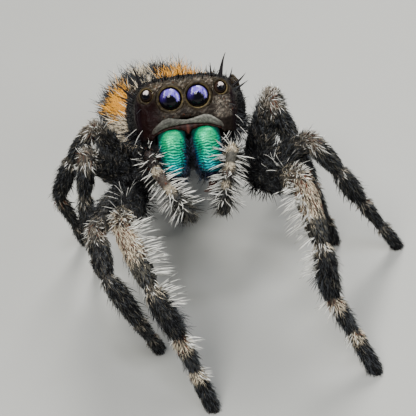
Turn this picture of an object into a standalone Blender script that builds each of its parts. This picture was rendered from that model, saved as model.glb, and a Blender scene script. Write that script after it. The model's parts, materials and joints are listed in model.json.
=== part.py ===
# Bold jumping spider, an adult female at life size, raised high on its front legs.
# Lengths are in millimetres and turn into metres where a mesh is made.
# Body axes: x to the spider's left, y towards its tail, z up from the carapace margin.
# Floor axes: z up, the spider faces -y, and the point under its main eyes is (0, 0).

import math
import random

import bmesh
import bpy
from mathutils import Matrix, Vector

MM = 0.001
GAP = 0.2              # between two flesh pieces that meet
EYE_GAP = 0.11         # round an eye in its socket
SMOOTH_ANGLE = math.radians(50)

# Stance of the front body
EYE_HEIGHT = 7.9       # main eyes above the floor
NOSE_UP = 34.0         # degrees
BODY_ROLL = 5.0        # degrees, the top leaning to the spider's left

# Front body
CARAPACE_LENGTH = 5.9
FACE_Y = -2.75
MAIN_EYE_Z = 1.55
CARAPACE_STATIONS = (  # share of the length, half width, height, arch of the lower edge
    (0.0, 1.40, 1.80, 0.85),
    (0.025, 1.66, 2.08, 0.80),
    (0.08, 1.82, 2.26, 0.72),
    (0.18, 1.93, 2.40, 0.50),
    (0.32, 2.06, 2.50, 0.18),
    (0.45, 2.20, 2.48, 0.0),
    (0.58, 2.28, 2.28, 0.0),
    (0.72, 2.18, 1.85, 0.0),
    (0.85, 1.75, 1.25, 0.0),
    (0.94, 1.20, 0.80, 0.0),
    (1.0, 0.62, 0.50, 0.05),
)
CARAPACE_SQUARENESS = 0.62
CARAPACE_WAIST = 0.36  # share of the height at which it is widest
CARAPACE_TUCK = 0.93   # width of the lower edge against the widest
STERNUM_SIZE = (0.68, 1.75, 0.45)
STERNUM_CENTRE = (0, -0.1, -0.78)
LIP_LOBE_PATH = ((0.30, -1.2, -0.95), (0.42, -2.15, -1.35))
LIP_LOBE_RADII = (0.26, 0.30)
WAIST_PATH = ((0, 1.1, -0.75), (0, 2.9, -0.42))
WAIST_RADIUS = 0.26

# Long bristles at the corners of the head: root, direction, way they bend, length
BRISTLES = (
    ((-1.50, -2.30, 2.10), (-0.30, -0.1, 1.0), (-1, 0, 0), 0.80),
    ((-1.78, -2.15, 1.72), (-0.90, -0.2, 0.75), (0, 0, 1), 0.78),
    ((1.38, -2.25, 2.12), (0.02, -0.1, 1.0), (-1, 0, 0), 0.92),
    ((1.66, -2.20, 1.96), (0.55, -0.1, 0.9), (0, 0, 1), 0.62),
    ((1.80, -2.10, 1.74), (0.95, -0.2, 0.60), (0, 0, 1), 0.70),
)
BRISTLE_RADIUS = 0.09
BRISTLE_BEND = 0.28    # how far the tip moves aside, against the length
BRISTLE_SINK = 0.15    # how deep the root sits in the carapace

# Eyes: radius, and the place of the lens centre in body axes for the left one
EYES = {
    "main": (0.41, (0.485, -2.52, 1.55), (0.04, -1.0, 0.02)),
    "side": (0.22, (1.30, -2.30, 1.74), (0.35, -1.0, 0.12)),
    "middle": (0.10, (1.83, -1.35, 1.86), (1.0, -0.15, 0.25)),
    "rear": (0.20, (1.90, -0.45, 1.86), (1.0, 0.25, 0.35)),
}
LENS_SHARE = 0.92      # a lens's depth against its radius
EYE_SIDES = 12
SOCKET_DEPTH = 0.55    # of its own radius, behind the lens centre

# Jaws and mouth feelers
JAW_TOP = (0.60, -2.55, 0.28)
JAW_TIP = (0.68, -2.95, -1.55)
JAW_RADII = ((0.0, 0.40, 0.42), (0.05, 0.47, 0.52), (0.25, 0.51, 0.62), (0.5, 0.50, 0.60),
             (0.75, 0.44, 0.50), (0.92, 0.36, 0.38), (1.0, 0.26, 0.28))
FANG_PATH = ((0.66, -2.95, -1.35), (0.60, -2.85, -1.72), (0.30, -2.6, -1.85))
FANG_RADIUS = 0.17
PALPS = {
    "left": ((1.05, -1.75, -1.45), (1.42, -2.75, -1.05), (1.45, -3.62, -0.45), (1.30, -3.80, -1.04),
             (1.12, -3.85, -1.59), (0.86, -3.75, -2.72)),
    "right": ((-1.05, -1.75, -1.45), (-1.45, -2.80, -0.85), (-1.50, -3.62, -0.25),
              (-1.28, -3.85, -0.88), (-0.90, -3.95, -1.58), (-0.12, -3.80, -2.80)),
}
PALP_RADIUS = 0.22
PALP_TIP_RADIUS = 0.29

# Rear body
ABDOMEN_LENGTH = 6.6
ABDOMEN_WIDTH = 4.6
ABDOMEN_DEPTH = 3.5
ABDOMEN_CENTRE = (-1.1, 7.45, 2.22)
ABDOMEN_TURN = 14.0    # degrees, the tail towards the spider's right
ABDOMEN_DROOP = 15.0   # degrees
SPINNERET_BASE_LENGTH = 0.45
SPINNERET_BASE_RADII = (0.26, 0.42)
SPINNERET_HEIGHT = -0.30
SPINNERET_FINGERS = (  # distance from the middle, height, length
    (0.22, 0.10, 0.50), (-0.22, 0.10, 0.50), (0.20, -0.12, 0.42), (-0.20, -0.12, 0.42),
)
FINGER_RADIUS = 0.16

# Legs: segment lengths, and depth and width of each stretch at its thickest
LEG_SIZES = {
    1: dict(femur=3.5, patella=2.3, tibia=1.9, metatarsus=1.45, tarsus=1.70,
            femur_radii=(0.64, 0.46), tibia_radii=(0.46, 0.42), foot_radii=(0.31, 0.29)),
    2: dict(femur=3.2, patella=1.8, tibia=1.9, metatarsus=1.60, tarsus=1.40,
            femur_radii=(0.50, 0.40), tibia_radii=(0.39, 0.35), foot_radii=(0.26, 0.25)),
    3: dict(femur=3.1, patella=1.6, tibia=2.0, metatarsus=1.80, tarsus=1.30,
            femur_radii=(0.46, 0.36), tibia_radii=(0.35, 0.32), foot_radii=(0.25, 0.24)),
    4: dict(femur=3.3, patella=1.6, tibia=2.1, metatarsus=2.00, tarsus=1.30,
            femur_radii=(0.48, 0.36), tibia_radii=(0.36, 0.33), foot_radii=(0.25, 0.24)),
}
COXA_ROOTS = {1: (0.92, -1.35, -0.90), 2: (1.00, -0.47, -0.95), 3: (1.00, 0.47, -0.95),
              4: (0.92, 1.38, -0.90)}
HIPS = {1: (2.05, -1.80, -1.50), 2: (2.45, -0.62, -1.40), 3: (2.45, 0.62, -1.40),
        4: (2.15, 1.82, -1.30)}
COXA_RADII = (0.40, 0.36)

# Pose of each leg: foot on the floor, tilt of the shin and the way its top leans (degrees,
# 0 is away from the face and 90 the spider's left), lean of the knee, bend past the patella
LEG_POSE = {
    ("left", 1): dict(foot=(4.6, -7.5), tilt=35, way=-35, lean=-12, bend=14),
    ("right", 1): dict(foot=(-1.25, -7.65), tilt=20, way=-35, lean=-25, bend=14),
    ("left", 2): dict(foot=(6.75, -1.2), tilt=24, way=-95, lean=17, bend=5),
    ("right", 2): dict(foot=(-2.77, -4.07), tilt=25.6, way=-160.6, lean=-39.5, bend=33),
    ("left", 3): dict(foot=(4.5, -0.2), tilt=10, way=-80, lean=-5, bend=14),
    ("right", 3): dict(foot=(-4.6, 1.1), tilt=25, way=175, lean=5, bend=14),
    ("left", 4): dict(foot=(3.9, 5.3), tilt=20, way=-155, lean=20, bend=17),
    ("right", 4): dict(foot=(-5.0, 3.0), tilt=17, way=-150, lean=10, bend=14),
}

# Profiles along a segment: share of its length, share of its thickest radius
COXA_PROFILE = ((-0.15, 0.9), (0.1, 1.0), (0.5, 1.0), (0.72, 0.80), (0.85, 0.86), (1.0, 0.85),
                (1.15, 0.6))
FEMUR_PROFILE = ((-0.08, 0.42), (0.0, 0.56), (0.1, 0.76), (0.3, 0.97), (0.5, 1.0), (0.72, 0.92),
                 (0.9, 0.80), (1.02, 0.66), (1.09, 0.38))
PATELLA_PROFILE = ((-0.16, 0.40), (-0.055, 0.70), (0.11, 0.88), (0.37, 1.0), (0.69, 0.98),
                   (0.90, 0.82), (1.0, 0.70))
TIBIA_PROFILE = ((0.10, 0.82), (0.45, 0.92), (0.78, 0.84), (1.0, 0.68), (1.11, 0.5))
METATARSUS_PROFILE = ((-0.09, 0.74), (0.065, 0.92), (0.43, 1.0), (0.83, 0.86), (1.0, 0.70))
TARSUS_PROFILE = ((0.13, 0.84), (0.54, 0.92), (0.82, 0.88), (1.0, 0.82), (1.22, 0.66))
PALP_ROOT_PROFILE = ((-0.05, 0.8), (0.2, 1.0), (0.42, 1.0), (0.6, 0.96), (0.68, 0.84), (0.8, 1.02),
                     (0.95, 0.96), (1.06, 0.7))
PALP_TIP_PROFILE = ((-0.05, 0.66), (0.04, 0.76), (0.2, 0.84), (0.33, 0.72), (0.42, 0.86),
                    (0.62, 1.0), (0.82, 0.96), (0.94, 0.72), (1.0, 0.36))

# Hair locks, each standing for a whole tuft
LOCK_SINK = 0.16       # how deep a root sits in what it grows from
LOCK_STEPS = 3
HAIR_SEED = 4
# Rows of locks: from and to share of the feeler's path or the leg's segment, rows, angles round
# the limb (degrees, 0 on the outer side), then the lock's length, width, thickness and steepness
PALP_ROOT_HAIR = ((0.78, 0.90, 2, (-105, -35, 35, 105), 0.60, 0.44, 0.22, 0.70),)
PALP_TIP_HAIR = (
    (0.14, 0.24, 1, (-125, -65, 0, 65, 125), 0.75, 0.48, 0.24, 0.72),
    (0.50, 0.76, 2, (-135, -82, -28, 28, 82, 135), 0.82, 0.50, 0.25, 0.66),
)
PATELLA_HAIR = ((0.15, 0.27, 1, (-55, 0, 55), 0.52, 0.50, 0.26, 0.36),)
TIBIA_HAIR = ((0.20, 0.28, 1, (-44, 44), 0.45, 0.42, 0.24, 0.40),)
FEMUR_HAIR = ((0.80, 0.84, 1, (-35, 20), 0.42, 0.46, 0.24, 0.80),)
# Front legs: the femur's own rows, and a fringe on the inner side of each segment below
FRONT_FEMUR_HAIR = ((0.35, 0.80, 3, (-28, 28), 0.62, 0.50, 0.26, 0.60),)
PATELLA_FRINGE = ((0.22, 0.80, 4, (88, 56), 0.85, 0.50, 0.26, 0.80),)
TIBIA_FRINGE = ((0.16, 0.78, 3, (86,), 0.62, 0.48, 0.26, 0.72),)
METATARSUS_FRINGE = ((0.35, 0.78, 2, (80,), 0.52, 0.40, 0.24, 0.68),)
TARSUS_FRINGE = ((0.19, 0.63, 2, (80,), 0.45, 0.38, 0.24, 0.58),)
ABDOMEN_ROWS = (       # angle along the body from its front, locks from side to side
    (30, 4), (52, 5), (76, 6), (100, 6), (124, 6), (146, 4),
)
ABDOMEN_SPREAD = 108   # degrees to each side of the top
ABDOMEN_HAIR = (1.45, 0.95, 0.34, 0.26)

SIDES = {"left": 1, "right": -1}


def smooth_material(name, colour, roughness, metallic=0.0):
    material = bpy.data.materials.new(name)
    material.use_nodes = True
    shader = material.node_tree.nodes["Principled BSDF"]
    shader.inputs["Base Color"].default_value = (*colour, 1.0)
    shader.inputs["Roughness"].default_value = roughness
    shader.inputs["Metallic"].default_value = metallic
    return material


def clear_scene():
    for thing in list(bpy.data.objects):
        bpy.data.objects.remove(thing)


def node_from_bmesh(name, shape, material, parent):
    bmesh.ops.recalc_face_normals(shape, faces=shape.faces)
    bmesh.ops.scale(shape, vec=(MM, MM, MM), verts=shape.verts)
    mesh = bpy.data.meshes.new(name)
    shape.to_mesh(mesh)
    shape.free()
    mesh.materials.append(material)
    mesh.shade_smooth()
    mesh.set_sharp_from_angle(angle=SMOOTH_ANGLE)
    node = bpy.data.objects.new(name, mesh)
    bpy.context.collection.objects.link(node)
    node.parent = parent
    return node


# Lofted shapes

def bridge_rings(shape, rings):
    # Closed rings of the same count, joined in order, with a flat cap on each end.
    count = len(rings[0])
    for lower, upper in zip(rings, rings[1:]):
        for i in range(count):
            j = (i + 1) % count
            shape.faces.new((lower[i], lower[j], upper[j], upper[i]))
    shape.faces.new(reversed(rings[0]))
    shape.faces.new(rings[-1])


def point_along(path, share):
    # A point at a share of the path's length; shares below 0 or above 1 run straight on.
    lengths = [(b - a).length for a, b in zip(path, path[1:])]
    target = share * sum(lengths)
    for i, length in enumerate(lengths):
        last = i == len(lengths) - 1
        if target <= length or last:
            return path[i] + (path[i + 1] - path[i]) * (target / length)
        target -= length


def tube_frame(path, share, across):
    # Centre, heading, and the directions of the oval's depth and width.
    step = 0.02
    centre = point_along(path, share)
    along = (point_along(path, share + step) - point_along(path, share - step)).normalized()
    wide = (across - along * across.dot(along)).normalized()
    return centre, along, along.cross(wide), wide


def tube(path, profile, radii, across, sides):
    # A tube of oval rings along a bent path; `across` is the direction of the oval's width.
    shape = bmesh.new()
    path = [Vector(p) for p in path]
    rings = []
    for share, factor in profile:
        centre, along, deep, wide = tube_frame(path, share, across)
        ring = []
        for i in range(sides):
            angle = 2 * math.pi * (i + 0.5) / sides
            offset = deep * radii[0] * math.cos(angle) + wide * radii[1] * math.sin(angle)
            ring.append(shape.verts.new(centre + offset * factor))
        rings.append(ring)
    bridge_rings(shape, rings)
    bmesh.ops.recalc_face_normals(shape, faces=shape.faces)
    return shape


def profile_at(profile, share):
    for (low, small), (high, large) in zip(profile, profile[1:]):
        if low <= share <= high:
            return small + (large - small) * (share - low) / (high - low)
    return profile[-1][1]


def joined_profile(first, second, joint):
    # Two segments' profiles as one; `joint` is the share of the path where the second starts.
    return rows_between(first, 0, joint, 1) + rows_between(second, joint, 1, 1)


def rows_between(rows, low, high, shares=2):
    # Rows whose first values are shares of one segment, with those as shares of the whole path.
    span = high - low
    return tuple((*(low + span * value for value in row[:shares]), *row[shares:]) for row in rows)


# Hair locks

def lock(root, out, lie, length, width, thickness, steepness, draw):
    # A flat, tapered lock that leaves the surface along `out` and bends over towards `lie`.
    shape = bmesh.new()
    across = out.cross(lie).normalized()
    length *= draw.uniform(0.85, 1.12)
    spot = root - out * LOCK_SINK
    rings = []
    for i in range(LOCK_STEPS):
        share = i / LOCK_STEPS
        rise = steepness * (1 - 0.55 * share)
        heading = (out * rise + lie * (1 - rise)).normalized()
        if i == 0:
            heading = out
        flat = heading.cross(across)
        taper = (1 - share ** 1.7) / 2
        half = across * width * taper
        thick = flat * thickness * taper
        ring = (spot + half, spot + thick, spot - half, spot - thick)
        rings.append([shape.verts.new(corner) for corner in ring])
        spot = spot + heading * (length + LOCK_SINK) / LOCK_STEPS
    for lower, upper in zip(rings, rings[1:]):
        for i in range(4):
            j = (i + 1) % 4
            shape.faces.new((lower[i], lower[j], upper[j], upper[i]))
    tip = shape.verts.new(spot)
    for i in range(4):
        shape.faces.new((rings[-1][i], rings[-1][(i + 1) % 4], tip))
    shape.faces.new(reversed(rings[0]))
    return piece_from_bmesh(shape)


def limb_locks(path, profile, radii, across, rows, draw, mirror=1):
    # Locks in rows round a limb; their tips lie towards the limb's far end.
    path = [Vector(p) for p in path]
    locks = []
    for start, end, count, angles, *lock_sizes in rows:
        for row in range(count):
            share = start + (end - start) * (row / (count - 1) if count > 1 else 0.5)
            centre, along, deep, wide = tube_frame(path, share, across)
            factor = profile_at(profile, share)
            for angle in angles:
                turn = math.radians(angle * mirror + draw.uniform(-7, 7))
                offset = deep * radii[0] * math.cos(turn) + wide * radii[1] * math.sin(turn)
                out = (deep * math.cos(turn) + wide * math.sin(turn)).normalized()
                locks.append(lock(centre + offset * factor, out, along, *lock_sizes, draw))
    return locks


def cut_away(shape, point, direction):
    # Remove what lies beyond the plane and close the cut with a flat face.
    every = shape.verts[:] + shape.edges[:] + shape.faces[:]
    cut = bmesh.ops.bisect_plane(shape, geom=every, plane_co=point, plane_no=direction,
                                 clear_outer=True, dist=1e-5)
    rim = [g for g in cut["geom_cut"] if isinstance(g, bmesh.types.BMEdge)]
    bmesh.ops.contextual_create(shape, geom=rim)


def mitre(before, joint, after):
    # The direction of the plane that halves the bend at a joint.
    return ((joint - before).normalized() + (after - joint).normalized()).normalized()


def turn_between(direction):
    # Matrix whose z axis is the direction.
    return Vector((0, 0, 1)).rotation_difference(Vector(direction)).to_matrix().to_4x4()


# Front body

def carapace_ring(shape, y, half_width, height, arch):
    top_points = 16
    low_points = 7
    waist = CARAPACE_WAIST * height
    ring = []
    for i in range(top_points + 1):
        angle = math.pi * i / top_points
        across = math.copysign(abs(math.cos(angle)) ** CARAPACE_SQUARENESS, math.cos(angle))
        z = waist + (height - waist) * math.sin(angle) ** CARAPACE_SQUARENESS
        ring.append(shape.verts.new((half_width * across, y, z)))
    for i in range(1, low_points + 1):
        x = -half_width * CARAPACE_TUCK * math.cos(math.pi * i / (low_points + 1))
        share = x / half_width
        ring.append(shape.verts.new((x, y, arch * (1 - share * share))))
    return ring


def carapace(parent, material):
    shape = bmesh.new()
    rings = []
    for share, half_width, height, arch in CARAPACE_STATIONS:
        y = FACE_Y + share * CARAPACE_LENGTH
        rings.append(carapace_ring(shape, y, half_width, height, arch))
    bridge_rings(shape, rings)
    node = node_from_bmesh("carapace", shape, material, parent)
    cutters = []
    for name, (radius, place, facing) in EYES.items():
        for side, sign in SIDES.items():
            cutters.append(eye_socket(radius, place, facing, sign))
    fuse(node, cutters, "DIFFERENCE")
    fuse(node, [bristle(*row) for row in BRISTLES], "UNION")


def bristle(root, direction, bend, length):
    # A tapered spike that starts inside the carapace and bends over towards `bend`.
    root = Vector(root)
    aim = Vector(direction).normalized()
    aside = Vector(bend) - aim * aim.dot(Vector(bend))
    aside.normalize()
    path = (root - aim * BRISTLE_SINK,
            root + (aim * 0.54 + aside * BRISTLE_BEND * 0.25) * length,
            root + (aim * 0.95 + aside * BRISTLE_BEND) * length)
    taper = ((0.0, 1.0), (0.3, 0.85), (0.65, 0.5), (1.0, 0.15))
    return piece_from_bmesh(tube(path, taper, (BRISTLE_RADIUS, BRISTLE_RADIUS), aside.cross(aim), 5))


def eye_matrix(place, facing, sign):
    centre = Vector((place[0] * sign, place[1], place[2]))
    out = Vector((facing[0] * sign, facing[1], facing[2])).normalized()
    return Matrix.Translation(centre) @ turn_between(out)


def eye_socket(radius, place, facing, sign):
    shape = bmesh.new()
    depth = radius * SOCKET_DEPTH + EYE_GAP
    reach = radius * 3
    centre = (reach - depth) / 2
    bmesh.ops.create_cone(shape, cap_ends=True, segments=16, radius1=radius + EYE_GAP,
                          radius2=radius + EYE_GAP, depth=reach + depth,
                          matrix=Matrix.Translation((0, 0, centre)))
    bmesh.ops.transform(shape, matrix=eye_matrix(place, facing, sign), verts=shape.verts)
    return piece_from_bmesh(shape)


def eye(name, side, parent, material):
    radius, place, facing = EYES[name]
    rings = 4
    sides = EYE_SIDES
    shape = bmesh.new()
    loops = []
    for height, factor in ((-SOCKET_DEPTH, 0.9), (-SOCKET_DEPTH * 0.8, 1.0)):
        loops.append(eye_loop(shape, radius, height * radius, factor, sides))
    for i in range(rings):
        angle = math.pi / 2 * i / rings
        height = radius * LENS_SHARE * math.sin(angle)
        loops.append(eye_loop(shape, radius, height, math.cos(angle), sides))
    bridge_rings(shape, loops)
    bmesh.ops.transform(shape, matrix=eye_matrix(place, facing, SIDES[side]), verts=shape.verts)
    node_from_bmesh("eye_{}_{}".format(name, side), shape, material, parent)


def eye_loop(shape, radius, height, factor, sides):
    loop = []
    for i in range(sides):
        angle = 2 * math.pi * i / sides
        spot = (radius * factor * math.cos(angle), radius * factor * math.sin(angle), height)
        loop.append(shape.verts.new(spot))
    return loop


def sternum(parent, material):
    # Breastplate under the leg roots, with the lip lobes in front and the waist behind.
    shape = ovoid(STERNUM_SIZE, 14, 8)
    bmesh.ops.translate(shape, vec=STERNUM_CENTRE, verts=shape.verts)
    node = node_from_bmesh("sternum", shape, material, parent)
    pieces = []
    round_ends = ((0.0, 0.55), (0.15, 0.9), (0.5, 1.0), (0.85, 0.85), (1.0, 0.5))
    for sign in SIDES.values():
        path = [(x * sign, y, z) for x, y, z in LIP_LOBE_PATH]
        lobe = tube(path, round_ends, LIP_LOBE_RADII, Vector((1, 0, 0)), 8)
        pieces.append(piece_from_bmesh(lobe))
    waist = tube(WAIST_PATH, ((0, 1), (0.5, 0.9), (1, 1)), (WAIST_RADIUS, WAIST_RADIUS),
                 Vector((1, 0, 0)), 10)
    pieces.append(piece_from_bmesh(waist))
    fuse(node, pieces, "UNION")


def ovoid(half_sizes, sides, rings):
    # A closed egg along y, its rings crowding towards both ends.
    half_x, half_y, half_z = half_sizes
    shape = bmesh.new()
    loops = []
    for i in range(rings + 1):
        angle = math.pi * (i + 0.35) / (rings + 0.7)
        y = -half_y * math.cos(angle)
        girth = math.sin(angle) ** 0.85
        loop = []
        for k in range(sides):
            turn = 2 * math.pi * k / sides
            spot = (half_x * girth * math.cos(turn), y, half_z * girth * math.sin(turn))
            loop.append(shape.verts.new(spot))
        loops.append(loop)
    bridge_rings(shape, loops)
    bmesh.ops.recalc_face_normals(shape, faces=shape.faces)
    return shape


def jaw(side, parent, material):
    sign = SIDES[side]
    top = Vector((JAW_TOP[0] * sign, JAW_TOP[1], JAW_TOP[2]))
    tip = Vector((JAW_TIP[0] * sign, JAW_TIP[1], JAW_TIP[2]))
    shape = bmesh.new()
    rings = []
    sides = 14
    for share, half_width, half_depth in JAW_RADII:
        centre = top.lerp(tip, share)
        ring = []
        for i in range(sides):
            angle = 2 * math.pi * i / sides
            offset = Vector((half_width * math.cos(angle), half_depth * math.sin(angle), 0))
            ring.append(shape.verts.new(centre + offset))
        rings.append(ring)
    bridge_rings(shape, rings)
    node = node_from_bmesh("jaw_{}".format(side), shape, material, parent)
    fang_path = [(x * sign, y, z) for x, y, z in FANG_PATH]
    taper = ((0.0, 1.0), (0.35, 0.85), (0.7, 0.55), (1.0, 0.15))
    fang = tube(fang_path, taper, (FANG_RADIUS, FANG_RADIUS), Vector((0, 1, 0)), 8)
    fuse(node, [piece_from_bmesh(fang)], "UNION")


def palp(side, parent, material):
    points = [Vector(p) for p in PALPS[side]]
    across = Vector((1, 0, 0))
    joint = points[3]
    plane = mitre(points[2], joint, points[4])
    upper = tube(points[:4], PALP_ROOT_PROFILE, (PALP_RADIUS, PALP_RADIUS), across, 10)
    cut_away(upper, joint - plane * GAP / 2, plane)
    lower = tube(points[3:], PALP_TIP_PROFILE, (PALP_TIP_RADIUS, PALP_TIP_RADIUS), across, 10)
    cut_away(lower, joint + plane * GAP / 2, -plane)
    upper_node = node_from_bmesh("palp_{}_upper".format(side), upper, material, parent)
    lower_node = node_from_bmesh("palp_{}_lower".format(side), lower, material, parent)
    draw = random.Random(HAIR_SEED)
    root_radii = (PALP_RADIUS, PALP_RADIUS)
    tip_radii = (PALP_TIP_RADIUS, PALP_TIP_RADIUS)
    fuse(upper_node, limb_locks(points[:4], PALP_ROOT_PROFILE, root_radii, across,
                                PALP_ROOT_HAIR, draw), "UNION")
    fuse(lower_node, limb_locks(points[3:], PALP_TIP_PROFILE, tip_radii, across,
                                PALP_TIP_HAIR, draw), "UNION")


# Rear body

def abdomen_matrix():
    turn = Matrix.Rotation(math.radians(ABDOMEN_TURN), 4, "Z")
    droop = Matrix.Rotation(math.radians(-ABDOMEN_DROOP), 4, "X")
    return Matrix.Translation(Vector(ABDOMEN_CENTRE)) @ turn @ droop


def abdomen(parent, material):
    half_sizes = (ABDOMEN_WIDTH / 2, ABDOMEN_LENGTH / 2, ABDOMEN_DEPTH / 2)
    shape = ovoid(half_sizes, 22, 13)
    for vert in shape.verts:
        # Broadest a little behind the middle, with a blunt front.
        share = vert.co.y / ABDOMEN_LENGTH * 2
        swell = 1.0 + 0.06 * share - 0.06 * share * share
        vert.co.x *= swell
        vert.co.z *= swell
    bmesh.ops.transform(shape, matrix=abdomen_matrix(), verts=shape.verts)
    node = node_from_bmesh("abdomen", shape, material, parent)
    fuse(node, abdomen_locks(), "UNION")


def abdomen_locks():
    # Long hair over the back and flanks, lying towards the tail.
    draw = random.Random(HAIR_SEED)
    place = abdomen_matrix()
    axes = place.to_3x3()
    half = Vector((ABDOMEN_WIDTH, ABDOMEN_LENGTH, ABDOMEN_DEPTH)) / 2
    locks = []
    for angle, count in ABDOMEN_ROWS:
        polar = math.radians(angle)
        for i in range(count):
            spread = ABDOMEN_SPREAD * (2 * (i + 0.5) / count - 1) + draw.uniform(-6, 6)
            turn = math.radians(spread)
            side = Vector((math.sin(polar) * math.sin(turn), -math.cos(polar),
                           math.sin(polar) * math.cos(turn)))
            root = Vector((side.x * half.x, side.y * half.y, side.z * half.z)) * 0.97
            out = Vector((side.x / half.x, side.y / half.y, side.z / half.z)).normalized()
            lie = Vector((0, 1, 0))
            lie = (lie - out * lie.dot(out)).normalized()
            locks.append(lock(place @ root, axes @ out, axes @ lie, *ABDOMEN_HAIR, draw))
    return locks


def spinnerets(parent, material):
    # A short base from which four fingers spread.
    root = ABDOMEN_LENGTH / 2 + GAP
    end = root + SPINNERET_BASE_LENGTH
    path = ((0, root, SPINNERET_HEIGHT), (0, end, SPINNERET_HEIGHT))
    shape = tube(path, ((0, 0.9), (0.3, 1.0), (1.0, 0.9)), SPINNERET_BASE_RADII, Vector((1, 0, 0)), 10)
    bmesh.ops.transform(shape, matrix=abdomen_matrix(), verts=shape.verts)
    node = node_from_bmesh("spinnerets", shape, material, parent)
    taper = ((0, 1.0), (0.7, 0.95), (0.92, 0.7), (1.0, 0.4))
    spread = 1.3
    pieces = []
    for across, height, length in SPINNERET_FINGERS:
        path = ((across, (root + end) / 2, SPINNERET_HEIGHT + height),
                (across * spread, end + length, SPINNERET_HEIGHT + height * spread))
        finger = tube(path, taper, (FINGER_RADIUS, FINGER_RADIUS), Vector((1, 0, 0)), 6)
        bmesh.ops.transform(finger, matrix=abdomen_matrix(), verts=finger.verts)
        pieces.append(piece_from_bmesh(finger))
    fuse(node, pieces, "UNION")


# Legs

def leg_joints(side, number, body):
    # Joints from the coxa root to the foot; the knee is where two circles meet in the leg's plane.
    size = LEG_SIZES[number]
    pose = LEG_POSE[(side, number)]
    sign = SIDES[side]
    root = body @ Vector((COXA_ROOTS[number][0] * sign, *COXA_ROOTS[number][1:]))
    hip = body @ Vector((HIPS[number][0] * sign, *HIPS[number][1:]))
    tilt = math.radians(pose["tilt"])
    way = math.radians(pose["way"])
    shin = Vector((math.sin(tilt) * math.sin(way), math.sin(tilt) * math.cos(way), math.cos(tilt)))
    foot = Vector((*pose["foot"], 0))
    ankle = foot + shin * (size["metatarsus"] + size["tarsus"])

    bend = math.radians(pose["bend"])
    patella, tibia = size["patella"], size["tibia"]
    lower = math.sqrt(patella ** 2 + tibia ** 2 + 2 * patella * tibia * math.cos(bend))
    span = ankle - hip
    reach = span.length
    along = span / reach
    up = Vector((0, 0, 1))
    up = (up - along * up.dot(along)).normalized()
    aside = along.cross(up)
    lean = math.radians(pose["lean"])
    rise = up * math.cos(lean) + aside * math.sin(lean) * sign
    share = (size["femur"] ** 2 - lower ** 2 + reach ** 2) / (2 * reach)
    knee = hip + along * share + rise * math.sqrt(size["femur"] ** 2 - share ** 2)

    fall = (ankle - knee).normalized()
    inward = hip - knee
    outward = -(inward - fall * inward.dot(fall)).normalized()
    part = (patella ** 2 - tibia ** 2 + lower ** 2) / (2 * lower)
    middle = knee + fall * part + outward * math.sqrt(patella ** 2 - part ** 2)
    across = (knee - hip).cross(ankle - knee).normalized()
    return dict(root=root, hip=hip, knee=knee, middle=middle, ankle=ankle, foot=foot, across=across)


def leg(side, number, body, root_empty, material):
    size = LEG_SIZES[number]
    j = leg_joints(side, number, body)
    name = "leg{}_{}_".format(number, side)
    hip_plane = mitre(j["root"], j["hip"], j["knee"])
    knee_plane = mitre(j["hip"], j["knee"], j["middle"])
    ankle_plane = mitre(j["middle"], j["ankle"], j["foot"])
    half_gap = GAP / 2
    outward = (j["hip"] - j["root"]).normalized()
    sides = 10 if number == 1 else 8
    draw = random.Random(HAIR_SEED + number)
    inner = -SIDES[side]

    coxa = tube((j["root"], j["hip"]), COXA_PROFILE, COXA_RADII, leg_side_axis(body), 8)
    cut_away(coxa, j["root"], -outward)
    cut_away(coxa, j["hip"] - hip_plane * half_gap, hip_plane)
    node_from_bmesh(name + "coxa", coxa, material, root_empty)

    path = (j["hip"], j["knee"])
    femur = tube(path, FEMUR_PROFILE, size["femur_radii"], j["across"], sides)
    cut_away(femur, j["hip"] + hip_plane * half_gap, -hip_plane)
    cut_away(femur, j["knee"] - knee_plane * half_gap, knee_plane)
    node = node_from_bmesh(name + "femur", femur, material, root_empty)
    rows = FRONT_FEMUR_HAIR if number == 1 else FEMUR_HAIR
    locks = limb_locks(path, FEMUR_PROFILE, size["femur_radii"], j["across"], rows, draw, inner)
    fuse(node, locks, "UNION")

    path = (j["knee"], j["middle"], j["ankle"])
    joint = size["patella"] / (size["patella"] + size["tibia"])
    profile = joined_profile(PATELLA_PROFILE, TIBIA_PROFILE, joint)
    middle = tube(path, profile, size["tibia_radii"], j["across"], sides)
    cut_away(middle, j["knee"] + knee_plane * half_gap, -knee_plane)
    cut_away(middle, j["ankle"] - ankle_plane * half_gap, ankle_plane)
    node = node_from_bmesh(name + "tibia", middle, material, root_empty)
    rows = rows_between(PATELLA_HAIR, 0, joint) + rows_between(TIBIA_HAIR, joint, 1)
    if number == 1:
        rows += rows_between(PATELLA_FRINGE, 0, joint) + rows_between(TIBIA_FRINGE, joint, 1)
    locks = limb_locks(path, profile, size["tibia_radii"], j["across"], rows, draw, inner)
    fuse(node, locks, "UNION")

    path = (j["ankle"], j["foot"])
    joint = size["metatarsus"] / (size["metatarsus"] + size["tarsus"])
    profile = joined_profile(METATARSUS_PROFILE, TARSUS_PROFILE, joint)
    lower = tube(path, profile, size["foot_radii"], j["across"], 8)
    cut_away(lower, j["ankle"] + ankle_plane * half_gap, -ankle_plane)
    cut_away(lower, Vector((0, 0, 0)), Vector((0, 0, -1)))
    node = node_from_bmesh(name + "foot", lower, material, root_empty)
    if number == 1:
        rows = rows_between(METATARSUS_FRINGE, 0, joint) + rows_between(TARSUS_FRINGE, joint, 1)
        locks = limb_locks(path, profile, size["foot_radii"], j["across"], rows, draw, inner)
        fuse(node, locks, "UNION")


def leg_side_axis(body):
    return (body.to_3x3() @ Vector((0, 1, 0))).normalized()


# Joining

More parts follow.
